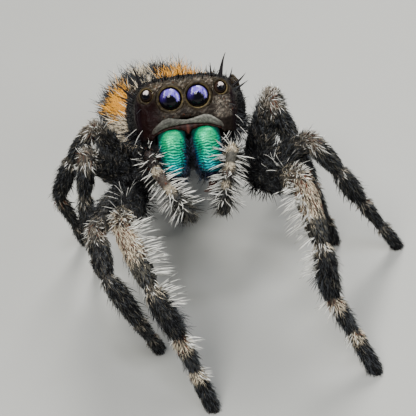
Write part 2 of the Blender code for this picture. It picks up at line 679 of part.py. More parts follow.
def piece_from_bmesh(shape):
    # A loose closed piece in metres, to be fused with a node or cut from it.
    bmesh.ops.recalc_face_normals(shape, faces=shape.faces)
    bmesh.ops.scale(shape, vec=(MM, MM, MM), verts=shape.verts)
    mesh = bpy.data.meshes.new("piece")
    shape.to_mesh(mesh)
    shape.free()
    return bpy.data.objects.new("piece", mesh)


def fuse(node, pieces, operation):
    # One Boolean of the node with all its pieces; the largest closed surface is kept.
    group = bpy.data.collections.new("pieces")
    bpy.context.scene.collection.children.link(group)
    for piece in pieces:
        group.objects.link(piece)
        piece.parent = node.parent
    joined = node.modifiers.new("join", "BOOLEAN")
    joined.operand_type = "COLLECTION"
    joined.collection = group
    joined.operation = operation
    joined.solver = "EXACT"
    bpy.context.view_layer.update()
    graph = bpy.context.evaluated_depsgraph_get()
    mesh = bpy.data.meshes.new_from_object(node.evaluated_get(graph))
    node.modifiers.clear()
    node.data = mesh
    for piece in list(group.objects):
        bpy.data.objects.remove(piece)
    bpy.data.collections.remove(group)
    keep_largest(mesh)


def keep_largest(mesh):
    shape = bmesh.new()
    shape.from_mesh(mesh)
    unseen = set(shape.faces)
    islands = []
    while unseen:
        stack = [unseen.pop()]
        island = []
        while stack:
            face = stack.pop()
            island.append(face)
            for edge in face.edges:
                for other in edge.link_faces:
                    if other in unseen:
                        unseen.remove(other)
                        stack.append(other)
        islands.append(island)
    islands.sort(key=lambda island: sum(face.calc_area() for face in island))
    for island in islands[:-1]:
        bmesh.ops.delete(shape, geom=island, context="FACES")
    loose = [v for v in shape.verts if not v.link_faces]
    bmesh.ops.delete(shape, geom=loose, context="VERTS")
    shape.to_mesh(mesh)
    shape.free()


def body_matrix():
    # From body axes to floor axes, so that the main eyes come to their height over (0, 0).
    turn = Matrix.Rotation(math.radians(-NOSE_UP), 4, "X")
    roll = Matrix.Rotation(math.radians(BODY_ROLL), 4, "Y")
    axes = turn @ roll
    eyes = axes @ Vector((0, FACE_Y, MAIN_EYE_Z))
    return Matrix.Translation(Vector((0, 0, EYE_HEIGHT)) - eyes) @ axes


def stand_on_origin(empty):
    # Shift the whole spider so that the middle of its footprint is the origin.
    bpy.context.view_layer.update()
    corners = []
    for thing in bpy.data.objects:
        if thing.type == "MESH":
            corners += [thing.matrix_world @ v.co for v in thing.data.vertices]
    for axis in (0, 1):
        values = [corner[axis] for corner in corners]
        empty.location[axis] = -(min(values) + max(values)) / 2
    empty.location[2] = -min(corner.z for corner in corners)


def build():
    clear_scene()
    spider = bpy.data.objects.new("spider", None)
    bpy.context.collection.objects.link(spider)
    body = body_matrix()
    front = bpy.data.objects.new("front_body", None)
    bpy.context.collection.objects.link(front)
    front.parent = spider
    front.matrix_local = Matrix.Translation(body.translation * MM) @ body.to_3x3().to_4x4()

    shell = smooth_material("brown_shell", (0.060, 0.032, 0.022), 0.42)
    jaw_green = smooth_material("green_jaw", (0.02, 0.42, 0.24), 0.28, 0.75)
    lens = smooth_material("black_lens", (0.008, 0.007, 0.012), 0.05)
    flesh = smooth_material("black_leg", (0.035, 0.036, 0.040), 0.55)
    feeler = smooth_material("grey_feeler", (0.24, 0.21, 0.18), 0.6)
    furred = smooth_material("grey_fur", (0.10, 0.095, 0.085), 0.85)

    carapace(front, shell)
    sternum(front, flesh)
    for side in SIDES:
        for name in EYES:
            eye(name, side, front, lens)
        jaw(side, front, jaw_green)
        palp(side, front, feeler)
        for number in LEG_SIZES:
            leg(side, number, body, spider, flesh)
    abdomen(spider, furred)
    spinnerets(spider, flesh)
    stand_on_origin(spider)


build()
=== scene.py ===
# A bold jumping spider at life size. Lengths here are millimetres; meshes are scaled to metres at the end.
# Body axes: x to the spider's left, y to its tail, z up from the edge of its head shell.

import json
import math

import bmesh
import bpy
import numpy as np
from mathutils import Matrix, Vector

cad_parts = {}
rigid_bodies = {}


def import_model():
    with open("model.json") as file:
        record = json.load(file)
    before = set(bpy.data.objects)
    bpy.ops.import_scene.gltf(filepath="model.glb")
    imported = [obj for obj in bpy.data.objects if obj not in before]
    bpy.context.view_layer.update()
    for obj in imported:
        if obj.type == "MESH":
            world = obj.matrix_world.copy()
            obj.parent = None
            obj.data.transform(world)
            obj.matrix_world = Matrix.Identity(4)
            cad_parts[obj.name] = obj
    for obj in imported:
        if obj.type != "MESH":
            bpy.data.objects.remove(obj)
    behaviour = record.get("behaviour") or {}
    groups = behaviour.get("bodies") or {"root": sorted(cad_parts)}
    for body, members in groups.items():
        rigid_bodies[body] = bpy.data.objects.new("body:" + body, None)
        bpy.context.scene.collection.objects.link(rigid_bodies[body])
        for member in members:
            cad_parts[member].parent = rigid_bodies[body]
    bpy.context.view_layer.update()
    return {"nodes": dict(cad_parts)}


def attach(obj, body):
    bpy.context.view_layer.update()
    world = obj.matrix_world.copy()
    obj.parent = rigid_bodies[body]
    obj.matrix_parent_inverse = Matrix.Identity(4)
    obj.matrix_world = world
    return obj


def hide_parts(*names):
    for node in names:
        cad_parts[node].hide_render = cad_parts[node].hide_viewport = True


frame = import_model()

mm = 0.001
sides = {"left": 1, "right": -1}


# Stance

stance = {
    "eyeHeight": 7.9,      # main eyes above the floor
    "noseUp": 34.0,        # degrees
    "roll": 5.0,           # degrees
    "faceY": -2.75,
    "mainEyeZ": 1.55,
    "shift": (-0.644, -1.883, 0.0),   # from the point under the eyes to the middle of the footprint
}


def turnAbout(axis, degrees):
    return np.array(Matrix.Rotation(math.radians(degrees), 3, axis))


shift = np.array(stance["shift"])
bodyAxes = turnAbout("X", -stance["noseUp"]) @ turnAbout("Y", stance["roll"])
eyeSpot = np.array((0, 0, stance["eyeHeight"])) + shift
bodyOrigin = eyeSpot - bodyAxes @ np.array((0, stance["faceY"], stance["mainEyeZ"]))


def fromBody(points):
    return np.asarray(points, float) @ bodyAxes.T + bodyOrigin


def toBody(points):
    return (np.asarray(points, float) - bodyOrigin) @ bodyAxes


def unit(vectors):
    vectors = np.asarray(vectors, float)
    return vectors / np.maximum(np.linalg.norm(vectors, axis=-1, keepdims=True), 1e-9)


def mirrored(point, sign):
    return np.array(point, float) * (sign, 1, 1)


def blendOver(low, high, values):
    # 0 at low, 1 at high, eased between them
    t = np.clip((np.asarray(values, float) - low) / (high - low), 0, 1)
    return t * t * (3 - 2 * t)


def ripple(points, size, seed):
    # A cheap smooth pattern of patches about `size` across, from -1 to 1
    draw = np.random.default_rng(seed)
    total = np.zeros(len(points))
    for _ in range(6):
        way = unit(draw.normal(size=3)) * 2 * math.pi / size * draw.uniform(0.6, 1.5)
        total += np.sin(points @ way + draw.uniform(0, 2 * math.pi))
    return np.clip(total / 2.6, -1, 1)


# Mesh helpers

def newObject(name, points, faces, material, smooth=True):
    mesh = bpy.data.meshes.new(name)
    mesh.from_pydata([tuple(p) for p in points], [], [tuple(f) for f in faces])
    mesh.update()
    if material:
        mesh.materials.append(material)
    if smooth:
        mesh.shade_smooth()
    thing = bpy.data.objects.new(name, mesh)
    bpy.context.collection.objects.link(thing)
    return thing


def joinRings(soup, rings, place=None):
    # Rings of points as one closed surface, with a fan on each end; `place` moves each point first
    points, faces = soup
    if place:
        rings = [[place(p) for p in ring] for ring in rings]
    count = len(rings[0])
    base = len(points)
    for ring in rings:
        points.extend(ring)
    for k in range(len(rings) - 1):
        for i in range(count):
            j = (i + 1) % count
            a = base + k * count
            faces.append((a + i, a + j, a + count + j, a + count + i))
    first = len(points)
    points.append(np.mean(rings[0], axis=0))
    points.append(np.mean(rings[-1], axis=0))
    last = base + (len(rings) - 1) * count
    for i in range(count):
        j = (i + 1) % count
        faces.append((base + j, base + i, first))
        faces.append((last + i, last + j, first + 1))


def closedObject(name, soup, material=None):
    thing = newObject(name, soup[0], soup[1], material)
    shape = bmesh.new()
    shape.from_mesh(thing.data)
    bmesh.ops.recalc_face_normals(shape, faces=shape.faces)
    shape.to_mesh(thing.data)
    shape.free()
    return thing


def applied(thing):
    # The evaluated mesh takes the place of the object's own, and its modifiers go
    graph = bpy.context.evaluated_depsgraph_get()
    mesh = bpy.data.meshes.new_from_object(thing.evaluated_get(graph))
    thing.modifiers.clear()
    thing.data = mesh


def remeshed(thing, voxel, rounds):
    remesh = thing.modifiers.new("oneSkin", "REMESH")
    remesh.mode = "VOXEL"
    remesh.voxel_size = voxel
    remesh.use_smooth_shade = True
    soften = thing.modifiers.new("soften", "SMOOTH")
    soften.factor = 0.5
    soften.iterations = rounds
    applied(thing)


def gather(items, name, width=3):
    values = np.empty(len(items) * width)
    items.foreach_get(name, values)
    return values.reshape(-1, width) if width > 1 else values


def pointsOf(thing):
    return gather(thing.data.vertices, "co")


def setPoints(thing, points):
    thing.data.vertices.foreach_set("co", np.asarray(points, np.float32).ravel())
    thing.data.update()


def keepAbove(thing, lowest):
    points = pointsOf(thing)
    points[:, 2] = np.maximum(points[:, 2], lowest)
    setPoints(thing, points)


def paint(thing, colours):
    layer = thing.data.attributes.new("coatColour", "FLOAT_COLOR", "POINT")
    full = np.ones((len(colours), 4), np.float32)
    full[:, :3] = colours
    layer.data.foreach_set("color", full.ravel())


def toMetres(thing):
    thing.data.transform(Matrix.Scale(mm, 4))
    thing.data.update()


def finished(thing, slotName, *nodes):
    toMetres(thing)
    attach(thing, "root")
    if nodes:
        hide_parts(*nodes)


def seated(thing, slotName, *nodes):
    # For a piece made in body axes
    setPoints(thing, fromBody(pointsOf(thing)))
    finished(thing, slotName, *nodes)


# Shader groups and materials

def newGroup(name, takes, gives):
    group = bpy.data.node_groups.new(name, "ShaderNodeTree")
    for socket, kind, value in takes:
        made = group.interface.new_socket(name=socket, in_out="INPUT", socket_type=kind)
        if value is not None:
            made.default_value = value
    for socket, kind in gives:
        group.interface.new_socket(name=socket, in_out="OUTPUT", socket_type=kind)
    return group, group.nodes.new("NodeGroupInput"), group.nodes.new("NodeGroupOutput")


def mathNode(tree, operation, first, second):
    node = tree.nodes.new("ShaderNodeMath")
    node.operation = operation
    for socket, value in zip(node.inputs, (first, second)):
        if isinstance(value, (int, float)):
            socket.default_value = value
        else:
            tree.links.new(value, socket)
    return node.outputs[0]


def makeGrain():
    # Fine mottling and pits; Size is in millimetres
    group, given, out = newGroup(
        "shellGrain",
        (("Vector", "NodeSocketVector", None), ("Size", "NodeSocketFloat", 0.1)),
        (("Mottle", "NodeSocketFloat"), ("Pits", "NodeSocketFloat")))
    links = group.links
    scale = mathNode(group, "DIVIDE", 1.0 / mm, given.outputs["Size"])
    cloud = group.nodes.new("ShaderNodeTexNoise")
    cloud.inputs["Detail"].default_value = 5.0
    cell = group.nodes.new("ShaderNodeTexVoronoi")
    for node in (cloud, cell):
        links.new(given.outputs["Vector"], node.inputs["Vector"])
    links.new(scale, cloud.inputs["Scale"])
    links.new(mathNode(group, "MULTIPLY", scale, 1.8), cell.inputs["Scale"])
    links.new(cloud.outputs[0], out.inputs["Mottle"])
    links.new(cell.outputs["Distance"], out.inputs["Pits"])
    return group


def makeTint():
    # Darkens and lightens a colour by a mask round its middle value
    group, given, out = newGroup(
        "uneven",
        (("Colour", "NodeSocketColor", None), ("Mask", "NodeSocketFloat", 0.5),
         ("Amount", "NodeSocketFloat", 0.5)),
        (("Colour", "NodeSocketColor"),))
    swing = mathNode(group, "SUBTRACT", given.outputs["Mask"], 0.5)
    swing = mathNode(group, "MULTIPLY", swing, given.outputs["Amount"])
    factor = mathNode(group, "ADD", mathNode(group, "MULTIPLY", swing, 2.0), 1.0)
    scaled = group.nodes.new("ShaderNodeVectorMath")
    scaled.operation = "SCALE"
    group.links.new(given.outputs["Colour"], scaled.inputs[0])
    group.links.new(factor, scaled.inputs["Scale"])
    group.links.new(scaled.outputs[0], out.inputs["Colour"])
    return group


grainGroup = makeGrain()
tintGroup = makeTint()


def makeMaterial(name, roughness, grain, uneven, relief=0.0, colour=None, roughSpread=0.15, **fixed):
    # With no colour it shows the mesh's own markings; `fixed` sets sockets by name
    material = bpy.data.materials.new(name)
    material.use_nodes = True
    tree = material.node_tree
    shader = tree.nodes["Principled BSDF"]
    for socket, value in fixed.items():
        shader.inputs[socket.replace("_", " ")].default_value = value
    place = tree.nodes.new("ShaderNodeTexCoord")
    mottle = tree.nodes.new("ShaderNodeGroup")
    mottle.node_tree = grainGroup
    mottle.inputs["Size"].default_value = grain
    tree.links.new(place.outputs["Object"], mottle.inputs["Vector"])
    tint = tree.nodes.new("ShaderNodeGroup")
    tint.node_tree = tintGroup
    tint.inputs["Amount"].default_value = uneven
    tree.links.new(mottle.outputs["Mottle"], tint.inputs["Mask"])
    if colour:
        tint.inputs["Colour"].default_value = (*colour, 1)
    else:
        marks = tree.nodes.new("ShaderNodeAttribute")
        marks.attribute_name = "coatColour"
        tree.links.new(marks.outputs["Color"], tint.inputs["Colour"])
    tree.links.new(tint.outputs["Colour"], shader.inputs["Base Color"])
    swing = mathNode(tree, "MULTIPLY", mottle.outputs["Mottle"], roughSpread)
    tree.links.new(mathNode(tree, "ADD", swing, roughness - roughSpread / 2), shader.inputs["Roughness"])
    if relief:
        bump = tree.nodes.new("ShaderNodeBump")
        bump.inputs["Distance"].default_value = relief * mm
        bump.inputs["Strength"].default_value = 1.0
        tree.links.new(mottle.outputs["Pits"], bump.inputs["Height"])
        tree.links.new(bump.outputs["Normal"], shader.inputs["Normal"])
    return material


# Grain and relief are in millimetres
shellMaterial = makeMaterial("headShell", 0.5, grain=0.10, uneven=0.8, relief=0.010, Specular_IOR_Level=0.07)
skinMaterial = makeMaterial("legSkin", 0.5, grain=0.12, uneven=0.6, relief=0.01, Specular_IOR_Level=0.15)
coatMaterial = makeMaterial("coatHair", 0.55, grain=0.25, uneven=0.4, Specular_IOR_Level=0.1)
jawMaterial = makeMaterial("greenJaw", 0.36, grain=0.07, uneven=0.7, relief=0.006, Metallic=0.45,
                           Specular_IOR_Level=0.08, Coat_Weight=0.03, Coat_Roughness=0.14)
lensMaterial = makeMaterial("eyeLens", 0.06, grain=0.09, uneven=0.25, roughSpread=0.04,
                            Specular_IOR_Level=0.15, Coat_Weight=0.12, Coat_Roughness=0.02)
rimMaterial = makeMaterial("eyeRim", 0.45, grain=0.08, uneven=0.9, relief=0.006, Specular_IOR_Level=0.1)
lipMaterial = makeMaterial("paleLip", 0.5, grain=0.10, uneven=0.8, relief=0.006, Specular_IOR_Level=0.12)
bristleMaterial = makeMaterial("blackBristle", 0.4, grain=0.1, uneven=0.6, colour=(0.006, 0.005, 0.006),
                               Specular_IOR_Level=0.12)
fangMaterial = makeMaterial("fang", 0.22, grain=0.12, uneven=0.7, relief=0.004, colour=(0.035, 0.012, 0.008))
print("materials are made")


# Colours of hair and skin

tones = {
    "cream": (0.66, 0.57, 0.42),
    "rust": (0.12, 0.040, 0.020),
    "olive": (0.115, 0.108, 0.086),
    "grey": (0.064, 0.069, 0.075),
    "black": (0.004, 0.004, 0.005),
    "white": (0.88, 0.87, 0.80),
    "orange": (0.76, 0.36, 0.040),
    "sand": (0.30, 0.265, 0.21),
    "slate": (0.040, 0.055, 0.085),
}
markTones = np.array([tones[t] for t in ("cream", "rust", "olive", "grey", "black")])
# The legs behind the first are duller: partly their own colour, and partly painted shade
rearTones = np.array([tones[t] for t in ("sand", "rust", "olive", "grey", "black")])
# Shares of cream, rust, olive, grey and black along each part of a leg
frontMarks = {
    "coxa": ((0, 0, 0, .05, .35, .6), (1, .05, 0, .1, .4, .45)),
    "femur": ((0, 0, 0, .05, .25, .7), (.72, .04, 0, .1, .32, .54), (.86, .28, .08, .14, .2, .3),
              (1, .36, .16, .08, .12, .28)),
    "patella": ((0, .42, .40, .05, .02, .11), (.12, .68, .2, .05, .0, .07), (.48, .6, .17, .12, .04, .07),
                (.6, .14, .06, .44, .2, .16), (.86, .04, .03, .38, .28, .27), (1, .16, .12, .14, .2, .38)),
    "tibia": ((0, .30, .1, .12, .18, .3), (.12, .2, .04, .16, .26, .34), (.24, .05, 0, .2, .35, .4),
              (.86, .04, .02, .14, .34, .46), (1, .08, .1, .07, .25, .5)),
    "metatarsus": ((0, .46, .34, .05, .05, .1), (.18, .72, .14, .04, .04, .06), (.32, .42, .1, .1, .15, .23),
                   (.44, .04, .03, .12, .32, .49), (1, .02, .02, .1, .3, .56)),
    "tarsus": ((0, .66, .14, .05, .05, .1), (.14, .6, .12, .06, .1, .12), (.28, .06, .04, .1, .28, .52),
               (1, 0, 0, .08, .27, .65)),
}
rearMarks = {
    "coxa": frontMarks["coxa"],
    "femur": ((0, 0, 0, .1, .4, .5), (.36, .04, 0, .12, .36, .48), (.5, .16, .02, .2, .34, .28),
              (.62, .04, 0, .12, .36, .48), (.86, .2, .06, .16, .26, .32), (1, .5, .12, .1, .12, .16)),
    "patella": ((0, .5, .2, .08, .08, .14), (.18, .34, .1, .16, .2, .2), (.36, .06, .04, .2, .34, .36),
                (1, .04, .03, .15, .34, .44)),
    "tibia": ((0, .3, .08, .16, .2, .26), (.12, .16, .04, .16, .28, .36), (.26, .03, .02, .14, .36, .45),
              (1, .03, .02, .1, .3, .55)),
    "metatarsus": ((0, .46, .16, .1, .1, .18), (.14, .36, .1, .1, .16, .28), (.26, .03, .03, .1, .3, .54),
                   (1, .02, .01, .08, .29, .6)),
    "tarsus": ((0, .4, .12, .1, .12, .26), (.14, .3, .08, .1, .2, .32), (.26, .02, .02, .08, .28, .6),
               (1, 0, 0, .05, .25, .7)),
}
palpMarks = {
    "femur": ((0, .2, .04, .3, .26, .2), (.8, .4, .04, .3, .16, .1), (1, .9, .04, .03, .0, .03)),
    "patella": ((0, .92, .04, .04, 0, 0), (.13, .5, .04, .36, .1, 0), (.24, .03, .04, .71, .12, .10),
                (.80, .03, .04, .67, .14, .12), (.9, .8, .04, .12, .04, 0), (1, .92, .04, .04, 0, 0)),
    "tibia": ((0, .9, .06, .04, 0, 0), (.14, .3, .1, .4, .14, .06), (.4, .06, .14, .38, .24, .18),
              (.85, .10, .1, .36, .24, .20), (1, .8, .04, .08, .06, .02)),
    "tarsus": ((0, .6, .1, .14, .1, .06), (.2, .12, .06, .24, .28, .30), (.6, .0, .02, .28, .38, .32),
               (1, .0, .02, .4, .38, .2)),
}
# The right palp is dusky down to its second joint, and bare past it
duskyPalp = {
    "femur": ((0, .02, .12, .06, .2, .6), (1, .02, .12, .06, .2, .6)),
    "patella": ((0, .02, .14, .06, .18, .6), (.8, .04, .14, .1, .2, .52), (.92, .9, .04, .06, 0, 0),
                (1, .94, .04, .02, 0, 0)),
    "tibia": ((0, .92, .04, .04, 0, 0), (.12, .5, .1, .3, .1, 0), (.26, .0, .24, .42, .2, .14),
              (.76, .0, .2, .42, .2, .18), (.88, .9, .04, .06, 0, 0), (1, .94, .04, .02, 0, 0)),
}


def markWeights(rows, shares):
    # Shares too small to make a mark are dropped, so that no single pale hair strays into the dark
    table = np.array(rows)
    weights = np.stack([np.interp(shares, table[:, 0], table[:, k]) for k in range(1, 6)], axis=1)
    weights[:, :2] = np.where(weights[:, :2] < 0.11, 0, weights[:, :2])
    return weights / weights.sum(axis=1, keepdims=True)


def limbTones(limb):
    return markTones if limb.startswith(("leg1", "palp")) else rearTones


# Limbs, as lists of segments

legSizes = {
    1: dict(femur=3.5, patella=2.3, tibia=1.9, metatarsus=1.45, tarsus=1.70,
            femurRadii=(0.64, 0.46), tibiaRadii=(0.46, 0.42), footRadii=(0.31, 0.29)),
    2: dict(femur=3.2, patella=1.8, tibia=1.9, metatarsus=1.60, tarsus=1.40,
            femurRadii=(0.50, 0.40), tibiaRadii=(0.39, 0.35), footRadii=(0.26, 0.25)),
    3: dict(femur=3.1, patella=1.6, tibia=2.0, metatarsus=1.80, tarsus=1.30,
            femurRadii=(0.46, 0.36), tibiaRadii=(0.35, 0.32), footRadii=(0.25, 0.24)),
    4: dict(femur=3.3, patella=1.6, tibia=2.1, metatarsus=2.00, tarsus=1.30,
            femurRadii=(0.48, 0.36), tibiaRadii=(0.36, 0.33), footRadii=(0.25, 0.24)),
}
coxaRoots = {1: (0.92, -1.35, -0.90), 2: (1.00, -0.47, -0.95), 3: (1.00, 0.47, -0.95), 4: (0.92, 1.38, -0.90)}
hips = {1: (2.05, -1.80, -1.50), 2: (2.45, -0.62, -1.40), 3: (2.45, 0.62, -1.40), 4: (2.15, 1.82, -1.30)}
coxaRadii = (0.40, 0.36)
# Foot on the floor, tilt of the shin and the way its top leans, lean of the knee, bend past the patella
legPose = {
    ("left", 1): dict(foot=(4.6, -7.5), tilt=35, way=-35, lean=-12, bend=14),
    ("right", 1): dict(foot=(-1.25, -7.65), tilt=20, way=-35, lean=-25, bend=14),
    ("left", 2): dict(foot=(6.75, -1.2), tilt=24, way=-95, lean=17, bend=5),
    ("right", 2): dict(foot=(-2.77, -4.07), tilt=25.6, way=-160.6, lean=-39.5, bend=33),
    ("left", 3): dict(foot=(4.5, -0.2), tilt=10, way=-80, lean=-5, bend=14),
    ("right", 3): dict(foot=(-4.6, 1.1), tilt=25, way=175, lean=5, bend=14),
    ("left", 4): dict(foot=(3.9, 5.3), tilt=20, way=-155, lean=20, bend=17),
    ("right", 4): dict(foot=(-5.0, 3.0), tilt=17, way=-150, lean=10, bend=14),
}
palpPaths = {
    "left": ((1.05, -1.75, -1.45), (1.42, -2.75, -1.05), (1.45, -3.62, -0.45), (1.30, -3.80, -1.04),
             (1.12, -3.85, -1.59), (0.86, -3.75, -2.72)),
    "right": ((-1.05, -1.75, -1.45), (-1.45, -2.80, -0.85), (-1.50, -3.62, -0.25), (-1.28, -3.85, -0.88),
              (-0.90, -3.95, -1.58), (-0.12, -3.80, -2.80)),
}
# Share of each segment's length against share of its thickest radius
girths = {
    "coxa": ((-.15, .8), (.1, 1.0), (.5, 1.0), (.72, .8), (.85, .86), (1.0, .85), (1.12, .5)),
    "femur": ((-.08, .3), (0, .52), (.1, .76), (.3, .97), (.5, 1.0), (.72, .92), (.9, .8), (1.0, .66),
              (1.06, .4)),
    "patella": ((-.1, .34), (-.03, .62), (.08, .84), (.25, 1.0), (.62, .98), (.86, .84), (.98, .64),
                (1.05, .4)),
    "tibia": ((-.07, .36), (0, .64), (.1, .82), (.4, .94), (.75, .88), (.95, .7), (1.04, .44)),
    "metatarsus": ((-.08, .4), (0, .72), (.12, .92), (.4, 1.0), (.75, .84), (.95, .68), (1.05, .44)),
    "tarsus": ((-.08, .4), (0, .7), (.14, .84), (.5, .92), (.82, .88), (.95, .74), (1.02, .4)),
    "palpRoot": ((-.06, .5), (.03, .84), (.3, 1.0), (.7, 1.0), (.94, .86), (1.04, .5)),
    "palpTip": ((-.06, .5), (.05, .74), (.3, .92), (.6, 1.05), (.85, .95), (.96, .64), (1.01, .25)),
}
coatDepth = 0.88          # the skin's radius against the solids' radius


def legJoints(side, number):
    # Joints in floor axes; the knee is where two circles meet in the leg's plane
    size = legSizes[number]
    pose = legPose[(side, number)]
    sign = sides[side]
    root = fromBody(mirrored(coxaRoots[number], sign)) - shift
    hip = fromBody(mirrored(hips[number], sign)) - shift
    tilt = math.radians(pose["tilt"])
    way = math.radians(pose["way"])
    shin = np.array((math.sin(tilt) * math.sin(way), math.sin(tilt) * math.cos(way), math.cos(tilt)))
    foot = np.array((*pose["foot"], 0.0))
    ankle = foot + shin * (size["metatarsus"] + size["tarsus"])
    spur = foot + shin * size["tarsus"]
    bend = math.radians(pose["bend"])
    patella = size["patella"]
    tibia = size["tibia"]
    lower = math.sqrt(patella ** 2 + tibia ** 2 + 2 * patella * tibia * math.cos(bend))
    span = ankle - hip
    reach = np.linalg.norm(span)
    along = span / reach
    up = np.array((0.0, 0.0, 1.0))
    up = unit(up - along * (up @ along))
    lean = math.radians(pose["lean"])
    rise = up * math.cos(lean) + np.cross(along, up) * math.sin(lean) * sign
    share = (size["femur"] ** 2 - lower ** 2 + reach ** 2) / (2 * reach)
    knee = hip + along * share + rise * math.sqrt(size["femur"] ** 2 - share ** 2)
    fall = unit(ankle - knee)
    inward = hip - knee
    outward = -unit(inward - fall * (inward @ fall))
    part = (patella ** 2 - tibia ** 2 + lower ** 2) / (2 * lower)
    middle = knee + fall * part + outward * math.sqrt(patella ** 2 - part ** 2)
    across = unit(np.cross(knee - hip, ankle - knee))
    spots = [p + shift for p in (root, hip, knee, middle, ankle, spur, foot)]
    return spots, across


def newSegment(limb, kind, start, end, across, radii, girth, marks):
    start = np.asarray(start, float)
    end = np.asarray(end, float)
    along = unit(end - start)
    wide = unit(across - along * (across @ along))
    return dict(limb=limb, kind=kind, start=start, along=along, length=np.linalg.norm(end - start),
                wide=wide, deep=np.cross(along, wide), radii=np.array(radii) * coatDepth,
                girth=np.array(girths[girth]), marks=marks)


def girthAt(part, share):
    return np.interp(share, part["girth"][:, 0], part["girth"][:, 1])


def segmentRings(part, stations, count):
    shares = np.linspace(part["girth"][0, 0], part["girth"][-1, 0], stations)
    rings = []
    for share in shares:
        factor = girthAt(part, share)
        centre = part["start"] + part["along"] * part["length"] * share
        turns = np.arange(count) * 2 * math.pi / count
        rings.append([centre + (part["deep"] * part["radii"][0] * math.cos(t)
                                + part["wide"] * part["radii"][1] * math.sin(t)) * factor for t in turns])
    return rings


def makeSegments():
    segments = []
    bodySide = bodyAxes @ np.array((0.0, 1.0, 0.0))
    for side, sign in sides.items():
        for number, size in legSizes.items():
            spots, across = legJoints(side, number)
            marks = frontMarks if number == 1 else rearMarks
            limb = "leg{}_{}".format(number, side)
            thick = (coxaRadii, size["femurRadii"], size["tibiaRadii"], size["tibiaRadii"],
                     size["footRadii"], size["footRadii"])
            kinds = ("coxa", "femur", "patella", "tibia", "metatarsus", "tarsus")
            for kind, start, end, radii in zip(kinds, spots, spots[1:], thick):
                way = bodySide if kind == "coxa" else across
                segments.append(newSegment(limb, kind, start, end, way, radii, kind, marks[kind]))
        points = [fromBody(p) for p in palpPaths[side]]
        limb = "palp_{}".format(side)
        across = bodyAxes @ np.array((1.0, 0.0, 0.0))
        rows = (("coxa", .22, "palpRoot"), ("femur", .22, "palpRoot"), ("patella", .23, "palpRoot"),
                ("tibia", .22, "palpRoot"), ("tarsus", .27, "palpTip"))
        for k, (kind, radius, girth) in enumerate(rows):
            marks = palpMarks["femur" if kind == "coxa" else kind]
            if side == "right":
                marks = duskyPalp.get(kind, marks)
            segments.append(newSegment(limb, kind, points[k], points[k + 1], across, (radius, radius),
                                       girth, marks))
    return segments


segments = makeSegments()


# Abdomen, sternum, waist and spinnerets

abdomen = {
    "length": 6.6,
    "width": 4.6,
    "depth": 3.5,
    "centre": (-1.1, 7.45, 2.22),
    "turn": 14.0,         # degrees, the tail to the spider's right
    "droop": 15.0,
    "skin": 0.95,         # share of the solid's size
}
abdomenAxes = turnAbout("Z", abdomen["turn"]) @ turnAbout("X", -abdomen["droop"])
abdomenCentre = np.array(abdomen["centre"]) + shift
abdomenHalf = np.array((abdomen["width"], abdomen["length"], abdomen["depth"])) / 2


def fromAbdomen(points):
    return np.asarray(points, float) @ abdomenAxes.T + abdomenCentre


def toAbdomen(points):
    return (points - abdomenCentre) @ abdomenAxes


def ovoidRings(half, count, stations):
    rings = []
    for i in range(stations + 1):
        angle = math.pi * (i + 0.2) / (stations + 0.4)
        girth = math.sin(angle) ** 0.85
        y = -half[1] * math.cos(angle)
        turns = np.arange(count) * 2 * math.pi / count
        rings.append([np.array((half[0] * girth * math.cos(t), y, half[2] * girth * math.sin(t)))
                      for t in turns])
    return rings


def straightTube(start, end, girths, radii, count=20):
    start = np.asarray(start, float)
    end = np.asarray(end, float)
    along = unit(end - start)
    across = np.array((1.0, 0.0, 0.0))
    wide = unit(across - along * (across @ along))
    deep = np.cross(along, wide)
    rings = []
    for share, factor in girths:
        centre = start + (end - start) * share
        rings.append([centre + (deep * radii[0] * math.cos(t) + wide * radii[1] * math.sin(t)) * factor
                      for t in np.arange(count) * 2 * math.pi / count])
    return rings


# Share of the way along a tube against share of its radii
tubeGirths = {
    "lobe": ((0.0, 0.55), (0.15, 0.9), (0.5, 1.0), (0.85, 0.85), (1.0, 0.5)),
    "waist": ((0, 1), (0.4, 0.95), (1, 1.15)),
    "flank": ((0, .70), (.08, .88), (.35, 1), (.8, 1), (1, .75)),
    "knob": ((0, .9), (.6, 1), (.95, .92), (1, .8)),
    "spinneret": ((0, 1), (.55, .95), (.62, .84), (.7, .92), (.92, .7), (1, .4)),
}
# Place across, height and length
spinnerets = ((.22, .10, .50), (-.22, .10, .50), (.20, -.12, .42), (-.20, -.12, .42))


